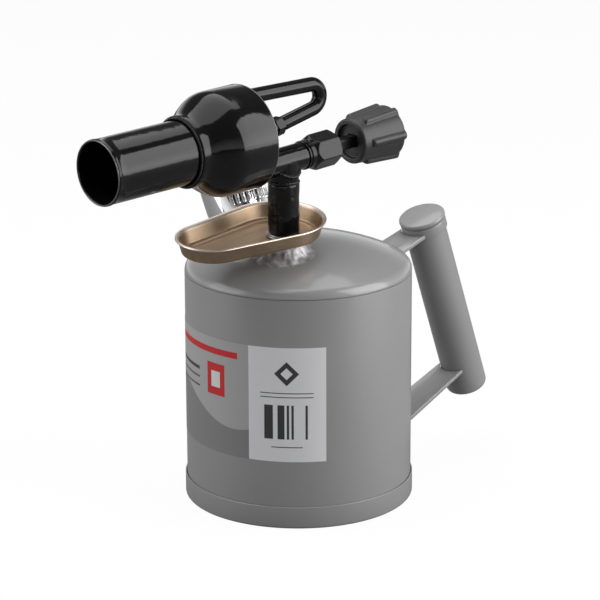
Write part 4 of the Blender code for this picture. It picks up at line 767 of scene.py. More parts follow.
def rib_recipe(material):
    """Round-backed grip ribs, in equal groups round a cap."""
    recipe = Recipe("cap_grip", {
        "Groups": 2, "Ribs": 9, "Pitch": radians(11), "Phase": radians(266),
        "Reach": 0.0162, "Low": 0.0, "Length": 0.010, "Rib Radius": 0.0010})
    groups, ribs, pitch, phase, reach, low, length, radius = recipe.sizes
    points = recipe.node("GeometryNodePoints", {"Count": groups * ribs})
    index = recipe.node("GeometryNodeInputIndex")
    inside = (index % ribs - (ribs - 1.0) / 2.0) * pitch + phase
    around = (index / ribs).floored() / groups * (2 * pi) + inside
    bar = recipe.node("GeometryNodeMeshCylinder", {
        "Vertices": 20, "Side Segments": 1, "Radius": radius, "Depth": length})
    ball = recipe.node("GeometryNodeMeshUVSphere",
                       {"Segments": 20, "Rings": 10, "Radius": radius})
    joined = recipe.node("GeometryNodeJoinGeometry")
    for geometry in (bar, recipe.shifted(ball, Z=length * 0.5),
                     recipe.shifted(ball, Z=length * -0.5)):
        recipe.join(joined.socket.node.inputs[0], geometry)
    placed = recipe.node("GeometryNodeInstanceOnPoints", {
        "Points": points, "Rotation": recipe.vector(Z=around),
        "Instance": recipe.shifted(joined, X=reach, Z=length * 0.5 + low)})
    return recipe.close(placed, material)


def tube_recipe(material):
    """A round tube with closed ends along a path."""
    recipe = Recipe("bent_tube", {"Tube Radius": LOOP_R, "Sides": 40})
    radius, sides = recipe.sizes
    ring = recipe.node("GeometryNodeCurvePrimitiveCircle",
                       {"Resolution": sides, "Radius": radius}, mode="RADIUS")
    mesh = recipe.node("GeometryNodeCurveToMesh", {
        "Curve": recipe.start, "Profile Curve": ring, "Fill Caps": True})
    return recipe.close(mesh, material)


def bead_along(name, points, drops, radius, material, node, seed, flatness=0.75):
    """A closed row of drops, on the body of a CAD node."""
    obj = grown(name, path_object(name + "_path", points, True), bead_recipe(material),
                {"Drops": drops, "Drop Radius": radius, "Flatness": flatness, "Seed": seed})
    dressed(obj, material, node)


# Tank

def make_tank(settings, material):
    inner = WALL_R - WALL_T
    top = SHOULDER_Z - CLEAR
    fine("tank_wall", material, [
        (WALL_R, top, 0.0001), (WALL_R, WALL_FOOT_Z), (inner, WALL_FOOT_Z), (inner, top)],
        TANK, TANK_STEPS, True)

    tongue = inner - CLEAR
    hem = tongue - DOME_T
    tongue_z = SHOULDER_Z - TONGUE_DEPTH
    ceiling_r = CREASE_R - 0.002
    crown = [(r, crown_z(r)) for r in (CREASE_R * i / CROWN_STEPS for i in range(CROWN_STEPS))]
    knuckle_end = atan2(CREASE_Z - SHOULDER_Z, KNUCKLE_R - WALL_R + CREASE_R)
    knuckle = curve_points(WALL_R - KNUCKLE_R, SHOULDER_Z, KNUCKLE_R, knuckle_end, 0, 12)
    outline = crown + [(*knuckle[0], settings.crease)] + knuckle[1:]
    outline += [(tongue, SHOULDER_Z), (tongue, tongue_z), (hem, tongue_z), (hem, SHOULDER_Z)]
    outline += [(r, z - DOME_T) for r, z in reversed(crown) if r < ceiling_r]
    fine("tank_dome", material, outline, TANK, TANK_STEPS)

    foot_round, foot_width, slope_width = 0.0015, 0.0030, 0.0020
    dish_edge, dish_rise, dish_steps = 0.0025, 0.0035, 10
    flat = SKIRT_R - foot_round - foot_width
    dish = flat - slope_width
    inside = SKIRT_R - SKIRT_T
    under = [(dish * share, dish_edge + dish_rise * (1 - share**2))
             for share in (i / dish_steps for i in range(dish_steps + 1))]
    outline = under + [(flat, 0, 0.0008), (SKIRT_R, 0, foot_round),
                       (SKIRT_R, SKIRT_TOP_Z, 0.0005), (inside, SKIRT_TOP_Z, 0.0002),
                       (inside, SKIRT_T, 0.0009), (flat + SKIRT_T / 2, SKIRT_T)]
    outline += [(r, z + SKIRT_T) for r, z in reversed(under)]
    fine("tank_bottom", material, outline, TANK, TANK_STEPS, corners=6)


def make_riser_foot(settings, material):
    """The stem through the dome and the uneven bead of weld round it."""
    steps = 160
    centre = RISER.translation
    neck, fillet, outer, stem = 0.0090, 0.0065, 0.0158, 0.0065
    stem_z = crown_z(hypot(*RISER_AT)) - 0.0080
    sunk = -0.0007
    # A ring has a radius and a lift above the dome or a level, or else lies under the tray
    profile = [(SPIGOT_R, None, SPIGOT_Z), (SPIGOT_R, None, None), (neck, None, None)]
    profile += [(r, lift, None) for r, lift in
                curve_points(neck + fillet, fillet, fillet, -pi, -pi / 2, 16)]
    profile += [(outer + 0.0004, -0.0001, None), (outer, sunk, None),
                (stem + 0.0001, sunk, None), (stem, None, stem_z),
                (FUEL_BORE_R, None, stem_z), (FUEL_BORE_R, None, SPIGOT_Z)]
    bm = bmesh.new()
    rings = []
    for reach, lift, level in profile:
        ring = []
        for i in range(steps):
            toward = Vector((cos(2 * pi * i / steps), sin(2 * pi * i / steps), 0))
            spot = centre + toward * reach
            if lift is None:
                spot.z = clamp_z(spot.x, spot.y, -CLEAR) if level is None else level
            else:
                spot.z = skin_z(spot.x, spot.y) + lift
                share = min(1.0, lift / 0.0006 + 0.35) if lift > 0 else 0.0
                rough = noise.noise(spot * 240.0) * 1.1 + noise.noise(spot * 520.0) * 0.4
                rough *= settings.weld_lump * share
                spot += toward * rough
                spot.z += rough * 0.8
            ring.append(bm.verts.new(spot))
        rings.append(ring)
    skin(bm, rings, True)
    dressed(shown_from(bm, "riser_foot"), material, "riser_boss", "riser_boss")


# Labels

def make_label(name, first, last, lift, settings, material):
    """A thin sheet bent round the tank's wall, with its own coordinates."""
    across, up = int((last - first) / 1.5), 12
    edge = [(j / up, settings.low + (settings.high - settings.low) * j / up)
            for j in range(up + 1)]
    section = [(WALL_R + lift, v, z) for v, z in edge]
    section += [(WALL_R + 0.00002, v, z) for v, z in reversed(edge)]
    bm = bmesh.new()
    places = {}
    rings = []
    for i in range(across + 1):
        around = radians(first + (last - first) * i / across)
        ring = []
        for r, v, z in section:
            vert = bm.verts.new(TANK @ Vector((r * cos(around), r * sin(around), z)))
            places[vert] = (i / across, v)
            ring.append(vert)
        rings.append(ring)
    skin(bm, rings, False)
    bm.faces.new(rings[0])
    bm.faces.new(rings[-1])
    layer = bm.loops.layers.uv.new("sheet")
    for face in bm.faces:
        for loop in face.loops:
            loop[layer].uv = places[loop.vert]
    dressed(shown_from(bm, name), material, "tank_wall")


# Tray

def teardrop(inset, z, points):
    """The tray's outline at one height, in the tray's own frame."""
    big, small, length = 0.0245 - inset, 0.0186 - inset, 0.0383
    lean = asin((big - small) / length)
    big_count = points * 6 // 10
    outline = curve_points(0, 0, big, -pi / 2 - lean, pi / 2 + lean, big_count - 1)
    outline += curve_points(-length, 0, small, pi / 2 + lean, 3 * pi / 2 - lean,
                            points - big_count - 1)
    return [Vector((x, y, z)) for x, y in outline]


def make_tray(settings, material, washer_material):
    rim = TRAY_DEPTH
    # The section's points: inset from the outline, height and rounding
    section = rounded([
        (0.0110, 0), (0.0033, 0, 0.0017), (0.0014, rim - 0.0009, 0.0004),
        (0.0, rim - 0.0010, 0.0005), (0.0, rim, 0.0005), (0.0012, rim, 0.0005),
        (0.0021, rim - 0.0011, 0.0009), (0.0039, 0.0009, 0.0007), (0.0059, 0.0009, 0.0004),
        (0.0073, TRAY_T, 0.0004), (0.0110, TRAY_T)], 6)
    bm = bmesh.new()
    rings = [[bm.verts.new(TRAY_SEAT @ point) for point in teardrop(inset, z, settings.points)]
             for inset, z in section]
    skin(bm, rings, False)
    bm.faces.new(rings[0])
    bm.faces.new(rings[-1])
    dressed(shown_from(bm, "tray_fine"), material, "priming_tray", "priming_tray")

    low = TRAY_T + CLEAR
    upper_r, lower_r, bore_r = 0.0082, 0.0086, 0.0056
    fine("tray_washer", washer_material, [
        (upper_r, low + 0.0017, 0.0003), (upper_r, low + 0.0010, 0.0002),
        (0.0078, low + 0.0009), (lower_r, low + 0.0007, 0.0003), (lower_r, low, 0.0003),
        (bore_r, low), (bore_r, low + 0.0017)], CLAMP, closed=True)


# Riser and valve

def make_riser(material):
    socket_z, plug_z = 0.1495, RISER_TOP_Z + 0.0050
    pipe = turned("riser_pipe_fine", [
        (SPIGOT_R, plug_z), (SPIGOT_R, RISER_TOP_Z), (RISER_R, RISER_TOP_Z, 0.0009),
        (RISER_R, RISER_FOOT_Z, 0.0007), (SOCKET_R, RISER_FOOT_Z), (SOCKET_R, socket_z),
        (FUEL_BORE_R, socket_z), (FUEL_BORE_R, plug_z)],
        RISER, TURNED_STEPS, True, wavering(0.034, 230.0), spacing=0.0012)
    lean_top, lean_height, over_washer = 0.1440, 0.0015, 0.0029
    for vertex in pipe.data.vertices:
        share = max(0.0, min(1.0, (lean_top - vertex.co.z) / lean_height))
        vertex.co.z += share * (clamp_z(vertex.co.x, vertex.co.y, over_washer) - RISER_FOOT_Z)
    dressed(pipe, material, "riser_pipe", "riser_pipe")
    bead_along("riser_joint_bead", circle(RISER, 0.00665, 0.1672, 60), 64, 0.00130, material,
               "riser_pipe", 5, 0.8)


def make_valve(settings, material, nut_material):
    """Cross tube with its boss, bored for needle, packing and fuel; the gland nut on it."""
    front, rear, thread_end = -0.02903, 0.0113, 0.0266
    body_r, thread_r, nose_r, nose = 0.0067, 0.0061, 0.0034, front - 0.0052
    boss_r, boss_z, socket_z = 0.00745, 0.16715, 0.17215
    packing_r, needle_r, seat_r, jet_r = 0.0039, 0.0032, 0.0010, 0.0018
    overrun = 0.01
    body = turned("valve_body_fine", [
        (0, thread_end), (thread_r, thread_end, 0.0005), (thread_r, rear),
        (body_r, rear, 0.0005), (body_r, front, 0.0004), (nose_r, front),
        (nose_r, nose, 0.0003), (0, nose)],
        VALVE, relief=wavering(0.010, 240.0), spacing=0.0015)
    fitted(body, "UNION", turned("valve_boss_fine", [
        (0, VALVE_Z), (boss_r, VALVE_Z), (boss_r, boss_z, 0.0010), (0, boss_z)], RISER))
    fitted(body, "DIFFERENCE", turned("valve_bore_fine", [
        (0, thread_end + overrun), (0.00545, thread_end + overrun), (0.00545, 0.0220),
        (packing_r, 0.0220), (packing_r, 0.0177), (needle_r, 0.0177), (needle_r, -0.0045),
        (seat_r, -0.0075), (seat_r, -0.0087), (jet_r, -0.0087), (jet_r, front - overrun),
        (0, front - overrun)], VALVE, 40))
    fitted(body, "DIFFERENCE", turned("valve_inlet_fine", [
        (0, VALVE_Z), (FUEL_BORE_R, VALVE_Z), (FUEL_BORE_R, socket_z),
        (SOCKET_R, socket_z), (SOCKET_R, 0.160), (0, 0.160)], RISER, 40))
    dressed(body, material, "valve_body", "valve_body")
    bead_along("valve_joint_bead", circle(RISER, 0.00755, socket_z, 60, 0.0016), 70, 0.00115,
               material, "valve_body", 8, 0.8)

    flats = settings.nut_flats
    corner = flats / 2 / cos(pi / 6)
    ring_r, groove_r, thread_r, neck_r = 0.0072, 0.0066, 0.0064, 0.0042
    low, high, lip = 0.0116, 0.0317, 0.0282
    fine("gland_nut", nut_material, [
        (ring_r, low, 0.0003), (ring_r, 0.0128, 0.0003), (groove_r, 0.0129),
        (groove_r, 0.0133), (ring_r, 0.0134, 0.0003), (ring_r, 0.0158), (corner, 0.0190),
        (corner, 0.0311), (corner - 0.0008, high), (neck_r, high, 0.0003),
        (packing_r, lip), (thread_r, lip), (thread_r, low)],
        VALVE, 180, True, faceted(6, flats, 0.0073, phase=settings.nut_turn, crispness=120.0),
        spacing=0.0005)


def make_spindle(material):
    """Spindle from the needle's socket to the knob's screw, squared in the knob."""
    tip, end = -0.0015, KNOB_FRONT + 0.0168
    tip_r, neck_r, stem_r, hole_r = 0.0017, 0.0029, 0.0036, 0.0023
    socket_z, step, square_from, hole_z = tip + 0.0048, 0.0180, 0.0350, end - 0.0063
    fine("valve_spindle", material, [
        (0, socket_z), (tip_r, socket_z), (tip_r, tip), (neck_r, tip), (neck_r, step),
        (stem_r, step), (stem_r, square_from - 0.0001), (stem_r, square_from + 0.0001),
        (stem_r, end), (hole_r, end), (hole_r, hole_z), (0, hole_z)],
        VALVE, 80, False, faceted(4, 0.0058, 0.0028, square_from), spacing=0.0012)


def make_knob(settings, material):
    """Tapered, ribbed knob, hollow in front, with a squared bore."""
    front, rear = KNOB_FRONT, KNOB_FRONT + KNOB_LENGTH
    front_r, rear_r = 0.01135, 0.01325
    floor, socket, well = front + 0.0023, front + 0.0171, rear - 0.0060
    square_r, screw_r, well_r, brow = 0.0043, 0.0023, 0.0062, 0.0020
    rib_from, rib_ease, rib_fade = front + 0.0046, 0.0016, 0.0012
    spacing, half_width = 2 * pi / settings.ribs, 0.0019
    crest, crest_level, foot = 0.94, 0.341, 1.25

    def body_r(z):
        return front_r + (rear_r - front_r) * (z - front) / KNOB_LENGTH

    def ribbed(around, radius, z):
        if radius < 0.0046 and floor - 0.0001 < z < socket + 0.0001:
            return min(radius, polygon_radius(around, 4, 0.0064))
        off = (around - settings.rib_phase + spacing / 2) % spacing - spacing / 2
        across = abs(off * radius / half_width)
        if radius < body_r(z) - 0.0024 or z < rib_from or across >= foot:
            return radius
        swell = crest_level * (foot - across) / (foot - crest)
        if across < crest:
            swell = sqrt(1 - across**2)
        ease = sqrt(max(0.0, 1 - (1 - min(1.0, (z - rib_from) / rib_ease))**2))
        fade = min(1.0, (rear - z) / rib_fade)
        return radius + settings.rib_height * swell * ease * (0.45 + 0.55 * fade)

    fine("control_knob", material, [
        (well_r, rear, 0.0004), (body_r(rear) - brow, rear, 0.0006),
        (body_r(rear - brow), rear - brow, 0.0008), (front_r, front, 0.0011),
        (front_r - 0.0027, front, 0.0005), (front_r - 0.0029, floor, 0.0004),
        (square_r, floor), (square_r, socket), (screw_r, socket), (screw_r, well),
        (well_r, well)], VALVE, 360, True, ribbed, spacing=0.00045)


# Burner

def shell_sweep(drum, neck, steps):
    """From the drum in to the neck: slow, steep, then slow again."""
    shoulder, sweep, lateness = -0.0430, 0.0195, 1.2
    return [(drum - (drum - neck) * (1 - cos(pi * share**lateness)) / 2,
             shoulder - sweep * share) for share in (i / steps for i in range(steps + 1))]


def make_burner(settings, material, tube_material):
    drum, sheet, tube = settings.shell_r, 0.0009, settings.tube_r
    seat, bore = tube + CLEAR, tube - 0.0010
    neck_end = -0.0650
    outline = [(drum, SHELL_REAR, 0.0003), *shell_sweep(drum, NECK_R, 30)]
    outline += [(NECK_R, neck_end, 0.0005), (seat, neck_end), (seat, neck_end + 0.0030)]
    outline += shell_sweep(drum - sheet, NECK_R - sheet, 20)[::-1]
    outline += [(drum - sheet, SHELL_REAR, 0.0003)]
    fine("burner_shell", material, outline, FLAME, BURNER_STEPS, True, wavering(0.004, 70.0))

    rear = -0.0423
    fine("flame_tube", tube_material, [
        (tube, rear), (tube, MOUTH + 0.0022), (tube + 0.0003, MOUTH + 0.0014, 0.0004),
        (tube + 0.0002, MOUTH, 0.0006), (bore, MOUTH, 0.0006), (bore, rear)],
        FLAME, BURNER_STEPS, True, wavering(0.003, 60.0), corners=6, spacing=0.004)
    bead_along("shell_joint_bead", circle(FLAME, 0.0163, neck_end - 0.0005, 90), 110, 0.00085,
               material, "burner_shell", 11)


def make_worn_edges(settings, material):
    """The two rims whose enamel is rubbed through."""
    for name, radius, z, width, node in (
            ("shell_rim_wear", settings.shell_r - 0.00035, SHELL_REAR, 0.00042, "burner_shell"),
            ("mouth_lip_wear", settings.tube_r - 0.00030, MOUTH, 0.00034, "flame_tube")):
        outline = curve_points(radius, z, width, 0, 2 * pi, 10)[:-1]
        dressed(turned(name, outline, FLAME, BURNER_STEPS, True), material, node)


def loop_points():
    """The middle line of the bent tube, in the flame's frame."""
    height, slope, fall, reach, bend = 0.0181, radians(-2.0), radians(10.5), 0.0242, 0.0090
    start, end = -0.0336, 0.0086
    lower = (reach + bend) * tan(fall)
    upper = height + reach * tan(slope)
    radius = (upper - lower) / (1 / cos(slope) + 1 / cos(fall) - tan(fall) + tan(slope))
    centre_h = upper - radius * tan(slope) - radius / cos(slope)
    points = [(start, height + start * tan(slope)),
              *curve_points(reach - radius, centre_h, radius, pi / 2 + slope,
                            -pi / 2 + fall, 32),
              (end * cos(fall) - bend, end * sin(fall))]
    return [Vector((-h, 0, z)) for z, h in points]


def make_loop(material):
    route = filled([FLAME @ point for point in loop_points()], 0.0016)
    loop = grown("vaporiser_loop_fine", path_object("loop_path", route, False),
                 tube_recipe(material), {"Tube Radius": LOOP_R, "Sides": 44})
    dressed(loop, material, "vaporiser_loop", "vaporiser_loop")

    flats, low, high, bore_r, chamfer = 0.0083, 0.0028, 0.0071, 0.0039, 0.0004
    corner = flats / 2 / cos(pi / 6)
    fine("loop_union_nut", material, [
        (corner - chamfer, low), (corner, low + 0.0003), (corner, high - 0.0003),
        (corner - chamfer, high), (bore_r, high), (bore_r, low)],
        LEG, 144, True, faceted(6, flats, 0.0040), spacing=0.0004)

    bore, nozzle_r, thread_r, tail_r = 0.0012, 0.0025, 0.0038, 0.0036
    front, rear, nozzle_z, tail_z = -0.0340, -0.0088, -0.0300, 0.0026
    holder = turned("jet_holder_fine", [
        (nozzle_r, front), (thread_r, front, 0.0004), (thread_r, rear), (bore, rear),
        (bore, nozzle_z), (nozzle_r, nozzle_z)], FLAME, SMALL_STEPS, True, spacing=0.003)
    fitted(holder, "UNION", turned("jet_tail_fine", [
        (0, 0.0085), (tail_r, 0.0085), (tail_r, tail_z), (thread_r, tail_z),
        (thread_r, -0.0004), (0, -0.0004)], LEG, SMALL_STEPS))
    fitted(holder, "DIFFERENCE", turned("jet_tail_bore", [
        (0, 0.0120), (bore, 0.0120), (bore, -0.0010), (0, -0.0010)], LEG, 24))
    dressed(holder, material, "jet_holder", "jet_holder")


# Filler

def make_filler(settings, neck_material, cap_material):
    neck_r, bore_r, top, foot = 0.0130, 0.0102, 0.0275, -0.0070
    thread_depth, thread_pitch, thread_from = 0.00012, 0.0015, 0.0150

    def threaded(around, radius, z):
        if radius < 0.0125 or z < thread_from:
            return radius
        return radius + thread_depth * (cos(2 * pi * z / thread_pitch - around) - 0.4)

    fine("filler_neck", neck_material, [
        (neck_r, top, 0.0006), (neck_r, foot, 0.0003), (bore_r, foot), (bore_r, top, 0.0004)],
        FILLER, TURNED_STEPS, True, threaded, spacing=0.0004)

    path = []
    for i in range(90):
        around = 2 * pi * i / 90
        low, high = -0.012, 0.012
        for _ in range(40):
            middle = (low + high) / 2
            spot = FILLER @ Vector((0.0132 * cos(around), 0.0132 * sin(around), middle))
            if spot.z > skin_z(spot.x, spot.y):
                high = middle
            else:
                low = middle
        path.append(spot)
    bead_along("filler_weld", path, 46, 0.0019, neck_material, "filler_neck", 21)

    radius, low, high, hollow_r, ceiling, dish = 0.0160, 0.0112, 0.0335, 0.0133, 0.0301, 0.0008
    fine("filler_cap", cap_material, [
        (0, high - dish), (0.0115, high - dish, 0.0006), (0.0123, high, 0.0006),
        (radius, high, 0.0012), (radius, low, 0.0005), (hollow_r, low, 0.0003),
        (hollow_r, ceiling), (0, ceiling)], FILLER, 160, corners=6)
    grip = grown("filler_cap_grip", shown("grip_start", bpy.data.meshes.new("grip_start")),
                 rib_recipe(cap_material),
                 {"Groups": settings.groups, "Ribs": settings.per_group,
                  "Pitch": settings.pitch, "Phase": settings.phase,
                  "Reach": radius - 0.0007, "Low": low + 0.0030,
                  "Length": high - low - 0.0064, "Rib Radius": 0.0012}, FILLER)
    dressed(grip, cap_material, "filler_cap")


# Handle

def make_handle(settings, material):
    grip, wall, top = settings.grip_r, 0.0010, 0.1012
    inner = grip - wall
    fine("pump_barrel", material, [
        (0, wall), (inner, wall, 0.0022), (inner, top), (grip, top), (grip, 0, 0.0032),
        (0, 0)], PUMP, HANDLE_STEPS, corners=10)

    collar_r, collar_top, collar_low, web_z = 0.0118, 0.1042, 0.0985, 0.1015
    web_r, web_low, web_top, rod_r, rest_r = 0.0070, 0.0963, 0.1029, 0.0033, 0.0062
    fine("barrel_collar", material, [
        (collar_r, collar_top, 0.0007), (collar_r, collar_low, 0.0005),
        (grip + CLEAR, collar_low), (grip + CLEAR, top + CLEAR), (inner - CLEAR, top + CLEAR),
        (web_r, web_z - CLEAR), (web_r, web_low), (rod_r, web_low), (rod_r, web_top),
        (rest_r, web_top), (rest_r, collar_top)], PUMP, HANDLE_STEPS, True)

    disc_r, hub_r, hole_r, step = 0.0121, 0.0056, 0.0027, 0.0010
    low = collar_top + CLEAR
    high = low + settings.disc_t
    fine("pump_knob", material, [
        (0, high), (disc_r, high, 0.0011), (disc_r, low, 0.0008), (hub_r, low),
        (hub_r, low - step, 0.0003), (hole_r, low - step), (hole_r, high - step),
        (0, high - step)], PUMP, HANDLE_STEPS, corners=6)


def make_strap(node, material):
    """A CAD strap's own mesh, merged and with its edges rounded."""
    bm = bmesh.new()
    bm.from_mesh(FRAME["nodes"][node].data)
    bmesh.ops.remove_doubles(bm, verts=bm.verts, dist=0.00001)
    bmesh.ops.dissolve_limit(bm, angle_limit=radians(1.0), verts=bm.verts, edges=bm.edges)
    sharp = [e for e in bm.edges if len(e.link_faces) == 2
             and e.calc_face_angle(0.0) > radians(50)]
    bmesh.ops.bevel(bm, geom=sharp, offset=0.00045, segments=3, profile=0.5,
                    affect="EDGES", clamp_overlap=True)
    dressed(shown_from(bm, node + "_fine", 32), material, node, node)


def make_strap_weld(node, z, slope, half, seed, material):
    """The bead round a strap's end on the tank: out over the strap and back under it."""
    place = TANK @ moved(WALL_R, 0, z) @ turn(-slope, "Y")
    steps, stand, side = 16, 0.0003, 0.0010
    seam = []
    for way in (1, -1):
        for i in range(steps + 1):
            across = way * half * (2 * i / steps - 1)
            sag = WALL_R - sqrt(WALL_R**2 - across**2)
            seam.append(place @ Vector((stand - sag, across, -way * side)))
    bead_along(node + "_weld", seam, 36, 0.0010, material, node, seed, 0.8)


# Operators: one for each piece or group of like pieces, and one for the stage

class BLOWLAMP_OT_tank(bpy.types.Operator):
    """Build the tank's wall, dome and bottom"""
    bl_idname = "blowlamp.tank"
    bl_label = "Tank"

    def execute(self, context):
        settings = context.scene.blowlamp_tank
        make_tank(settings, grey_enamel(settings))
        make_riser_foot(settings, weld_metal())
        return {"FINISHED"}


class BLOWLAMP_OT_labels(bpy.types.Operator):
    """Lay the two plain labels on the tank"""
    bl_idname = "blowlamp.labels"
    bl_label = "Labels"

    def execute(self, context):
        settings = context.scene.blowlamp_labels
        make_label("pale_label_sheet", -157.8, -118.8, 0.00016, settings,
                   pale_label(settings))
        make_label("grey_label_sheet", -246.0, -157.9, 0.00012, settings,
                   grey_label(settings))
        return {"FINISHED"}


class BLOWLAMP_OT_tray(bpy.types.Operator):
    """Draw the priming tray and the washer above it"""
    bl_idname = "blowlamp.tray"
    bl_label = "Priming Tray"

    def execute(self, context):
        settings = context.scene.blowlamp_tray
        make_tray(settings, tray_sheet(settings),
                  bright_metal("washer_steel", (0.40, 0.39, 0.38), 0.36))
        return {"FINISHED"}


class BLOWLAMP_OT_valve(bpy.types.Operator):
    """Build the riser, the valve's cross tube, its nut, spindle and knob"""
    bl_idname = "blowlamp.valve"
    bl_label = "Riser and Valve"

    def execute(self, context):
        settings = context.scene.blowlamp_valve
        black = context.scene.blowlamp_burner
        make_riser(black_enamel("riser_enamel", black, 0.13, 0.00100))
        make_valve(settings, black_enamel("valve_enamel", black, 0.13, 0.00030),
                   black_enamel("nut_enamel", black, 0.24, 0.00008))
        make_spindle(black_enamel("spindle_enamel", black, 0.34, 0.00006))
        make_knob(settings, knob_plastic())
        return {"FINISHED"}


class BLOWLAMP_OT_burner(bpy.types.Operator):
    """Build the wind shield, the flame tube and the bent vaporiser tube"""
    bl_idname = "blowlamp.burner"
    bl_label = "Burner"

    def execute(self, context):
        settings = context.scene.blowlamp_burner
        make_burner(settings, black_enamel("shell_enamel", settings, 0.10, 0.00022),
                    black_enamel("tube_enamel", settings, 0.11, 0.00016))
        make_worn_edges(settings, bright_metal("worn_edge", (0.16, 0.16, 0.165), 0.40, 700.0))
        make_loop(black_enamel("loop_enamel", settings, 0.14, 0.00016))
        return {"FINISHED"}


class BLOWLAMP_OT_filler(bpy.types.Operator):
    """Build the filler's neck and its plated cap"""
    bl_idname = "blowlamp.filler"
    bl_label = "Filler"

    def execute(self, context):
        make_filler(context.scene.blowlamp_filler,
                    bright_metal("neck_steel", (0.60, 0.60, 0.60), 0.24),
                    bright_metal("cap_chrome", (0.80, 0.80, 0.81), 0.06, 160.0, 0.00001))
        return {"FINISHED"}


class BLOWLAMP_OT_handle(bpy.types.Operator):
    """Build the handle's tube, collar, pump knob and straps"""
    bl_idname = "blowlamp.handle"
    bl_label = "Handle"

    def execute(self, context):
        enamel = bpy.data.materials["grey_enamel_fine"]
        make_handle(context.scene.blowlamp_handle, enamel)
        for node in ("lower_strap", "upper_strap"):
            make_strap(node, enamel)
        make_strap_weld("lower_strap", 0.0178, 22.8, 0.0100, 31, enamel)
        make_strap_weld("upper_strap", 0.1121, 16.7, 0.0090, 41, enamel)
        repaint(enamel, "air_pipe")
        return {"FINISHED"}


class BLOWLAMP_OT_insides(bpy.types.Operator):
    """Finish the pieces that the lamp holds inside"""
    bl_idname = "blowlamp.insides"
    bl_label = "Insides"

    def execute(self, context):
        repaint(bright_metal("inner_steel", (0.56, 0.56, 0.56), 0.28), "pickup_tube",
                "needle", "knob_screw", "mixing_tube", "pump_rod", "upper_cup_washer",
                "lower_cup_washer", "check_ball", "check_spring")
        repaint(bright_metal("turned_brass", (0.72, 0.50, 0.20), 0.24), "pickup_strainer",
                "jet_nozzle", "cup_nut", "check_valve_body")
        repaint(bright_metal("burnt_casting", (0.035, 0.034, 0.033), 0.62, 700.0, 0.00020, 0.4),
                "vaporiser_body")
        repaint(soft_dark("seal_rubber", (0.018, 0.018, 0.018), 0.75, 900.0), "cap_seal")
        repaint(soft_dark("cup_leather", (0.20, 0.11, 0.055), 0.70, 700.0), "pump_cup")
        repaint(soft_dark("gland_graphite", (0.06, 0.06, 0.06), 0.80, 1500.0),
                "gland_packing")
        return {"FINISHED"}


# Stage

def lay_floor():
    """A pale floor that is near white to the camera and lit as grey paper."""
    bm = bmesh.new()
    bmesh.ops.create_grid(bm, x_segments=1, y_segments=1, size=3.0)
    floor = shown_from(bm, "floor")
    paper = (0.93, 0.93, 0.93)
    finish = Finish("floor_paper", paper, 0.9)
    camera_ray = finish.node("ShaderNodeLightPath")
    finish.feed("Base Color", finish.mixed(camera_ray, (0.24, 0.24, 0.24), paper))
    glow = finish.node("ShaderNodeEmission", {"Strength": 1.0})
    blend = finish.node("ShaderNodeMixShader", {
        0: camera_ray * 0.95, 1: Wire(finish, finish.shader.outputs[0]), 2: glow})
    finish.join(finish.tree.nodes["Material Output"].inputs["Surface"], blend)
    floor.data.materials.append(finish.material)


def light_room(settings):
    """Dim room light, white to the camera and in reflections from near the floor."""
    world = bpy.data.worlds.new("studio")
    bpy.context.scene.world = world
    world.use_nodes = True
    world.node_tree.nodes.clear()
    sky = Tree(world.node_tree)
    path = sky.node("ShaderNodeLightPath")
    place = sky.node("ShaderNodeSeparateXYZ",
                     {0: sky.node("ShaderNodeTexCoord", output="Generated")})
    low = sky.node("ShaderNodeMapRange",
                   {"Value": place.other("Z"), "From Min": 0.34, "From Max": 0.05})
    shiny = sky.maths("MAXIMUM", path.other("Is Glossy Ray"),
                      path.other("Is Transmission Ray"))
    seen = sky.maths("MAXIMUM", path.other("Is Camera Ray"), shiny * low)
    room = sky.node("ShaderNodeBackground", {"Color": settings.room})
    white = sky.node("ShaderNodeBackground", {"Color": (1, 1, 1)})
    blend = sky.node("ShaderNodeMixShader", {0: seen, 1: room, 2: white})
    sky.join(world.node_tree.nodes.new("ShaderNodeOutputWorld").inputs["Surface"], blend)


def area_lamp(name, at, size, watts):
    data = bpy.data.lights.new(name, "AREA")
    data.shape = "RECTANGLE"
    data.size, data.size_y = size
    data.energy = watts
    lamp = shown(name, data)
    lamp.location = at
    aim = Vector((TANK_X - 0.02, TANK_Y, 0.12))
    lamp.rotation_euler = (aim - Vector(at)).to_track_quat("-Z", "Y").to_euler()


def set_camera():
    """The photograph's camera, which looks almost straight at the tank's axis."""
    heading, offset, tilt, roll = 42.407, 0.035, 16.7155, -0.195
    sensor, lens_pixels, picture = 36.0, 2822.5, 600.0
    data = bpy.data.cameras.new("camera")
    data.sensor_width = sensor
    data.lens = sensor * lens_pixels / picture
    data.clip_start = 0.01
    camera = shown("camera", data)
    spot = turn(-heading, "Z") @ Vector((0, -1.3498, 0.5055))
    camera.matrix_world = (Matrix.Translation(spot + TANK.translation)
                           @ turn(-heading - offset, "Z") @ turn(90 - tilt, "X")
                           @ turn(roll, "Z"))
    bpy.context.scene.camera = camera


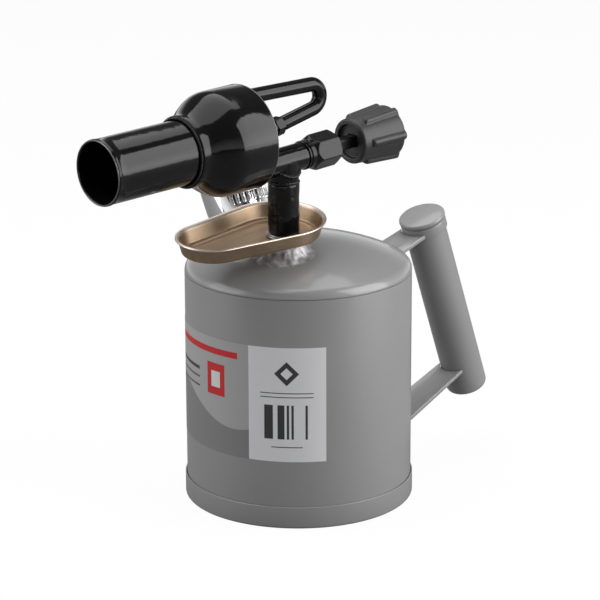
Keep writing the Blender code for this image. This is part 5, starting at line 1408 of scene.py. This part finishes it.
class BLOWLAMP_OT_stage(bpy.types.Operator):
    """Set the floor, the light and the camera"""
    bl_idname = "blowlamp.stage"
    bl_label = "Stage"

    def execute(self, context):
        settings = context.scene.blowlamp_studio
        lay_floor()
        light_room(settings)
        area_lamp("right_lamp", (0.59, -0.93, 0.55), (1.00, 1.30), settings.right)
        area_lamp("left_lamp", (-0.95, 0.55, 0.50), (0.90, 1.20), settings.left)
        area_lamp("top_lamp", (-0.05, 0.25, 1.15), (1.5, 1.1), settings.top)
        set_camera()
        context.scene.view_settings.view_transform = "Standard"
        return {"FINISHED"}


class BLOWLAMP_PT_panel(bpy.types.Panel):
    """Blowlamp pieces"""
    bl_label = "Petrol Blowlamp"
    bl_idname = "BLOWLAMP_PT_panel"
    bl_space_type = "VIEW_3D"
    bl_region_type = "UI"
    bl_category = "Blowlamp"

    def draw(self, context):
        for operator in OPERATORS:
            self.layout.operator(operator.bl_idname)


GROUPS = {
    "blowlamp_tank": TankSettings,
    "blowlamp_labels": LabelSettings,
    "blowlamp_tray": TraySettings,
    "blowlamp_valve": ValveSettings,
    "blowlamp_burner": BurnerSettings,
    "blowlamp_filler": FillerSettings,
    "blowlamp_handle": HandleSettings,
    "blowlamp_studio": StudioSettings,
}
OPERATORS = (BLOWLAMP_OT_tank, BLOWLAMP_OT_labels, BLOWLAMP_OT_tray, BLOWLAMP_OT_valve,
             BLOWLAMP_OT_burner, BLOWLAMP_OT_filler, BLOWLAMP_OT_handle,
             BLOWLAMP_OT_insides, BLOWLAMP_OT_stage)


def register():
    for cls in (*GROUPS.values(), *OPERATORS, BLOWLAMP_PT_panel):
        bpy.utils.register_class(cls)
    for name, cls in GROUPS.items():
        setattr(bpy.types.Scene, name, PointerProperty(type=cls))


def unregister():
    for name in GROUPS:
        delattr(bpy.types.Scene, name)
    for cls in (BLOWLAMP_PT_panel, *reversed(OPERATORS), *GROUPS.values()):
        bpy.utils.unregister_class(cls)


def main():
    register()
    bpy.ops.blowlamp.tank()
    bpy.ops.blowlamp.labels()
    bpy.ops.blowlamp.tray()
    bpy.ops.blowlamp.valve()
    bpy.ops.blowlamp.burner()
    bpy.ops.blowlamp.filler()
    bpy.ops.blowlamp.handle()
    bpy.ops.blowlamp.insides()
    bpy.ops.blowlamp.stage()


if __name__ == "__main__":
    main()
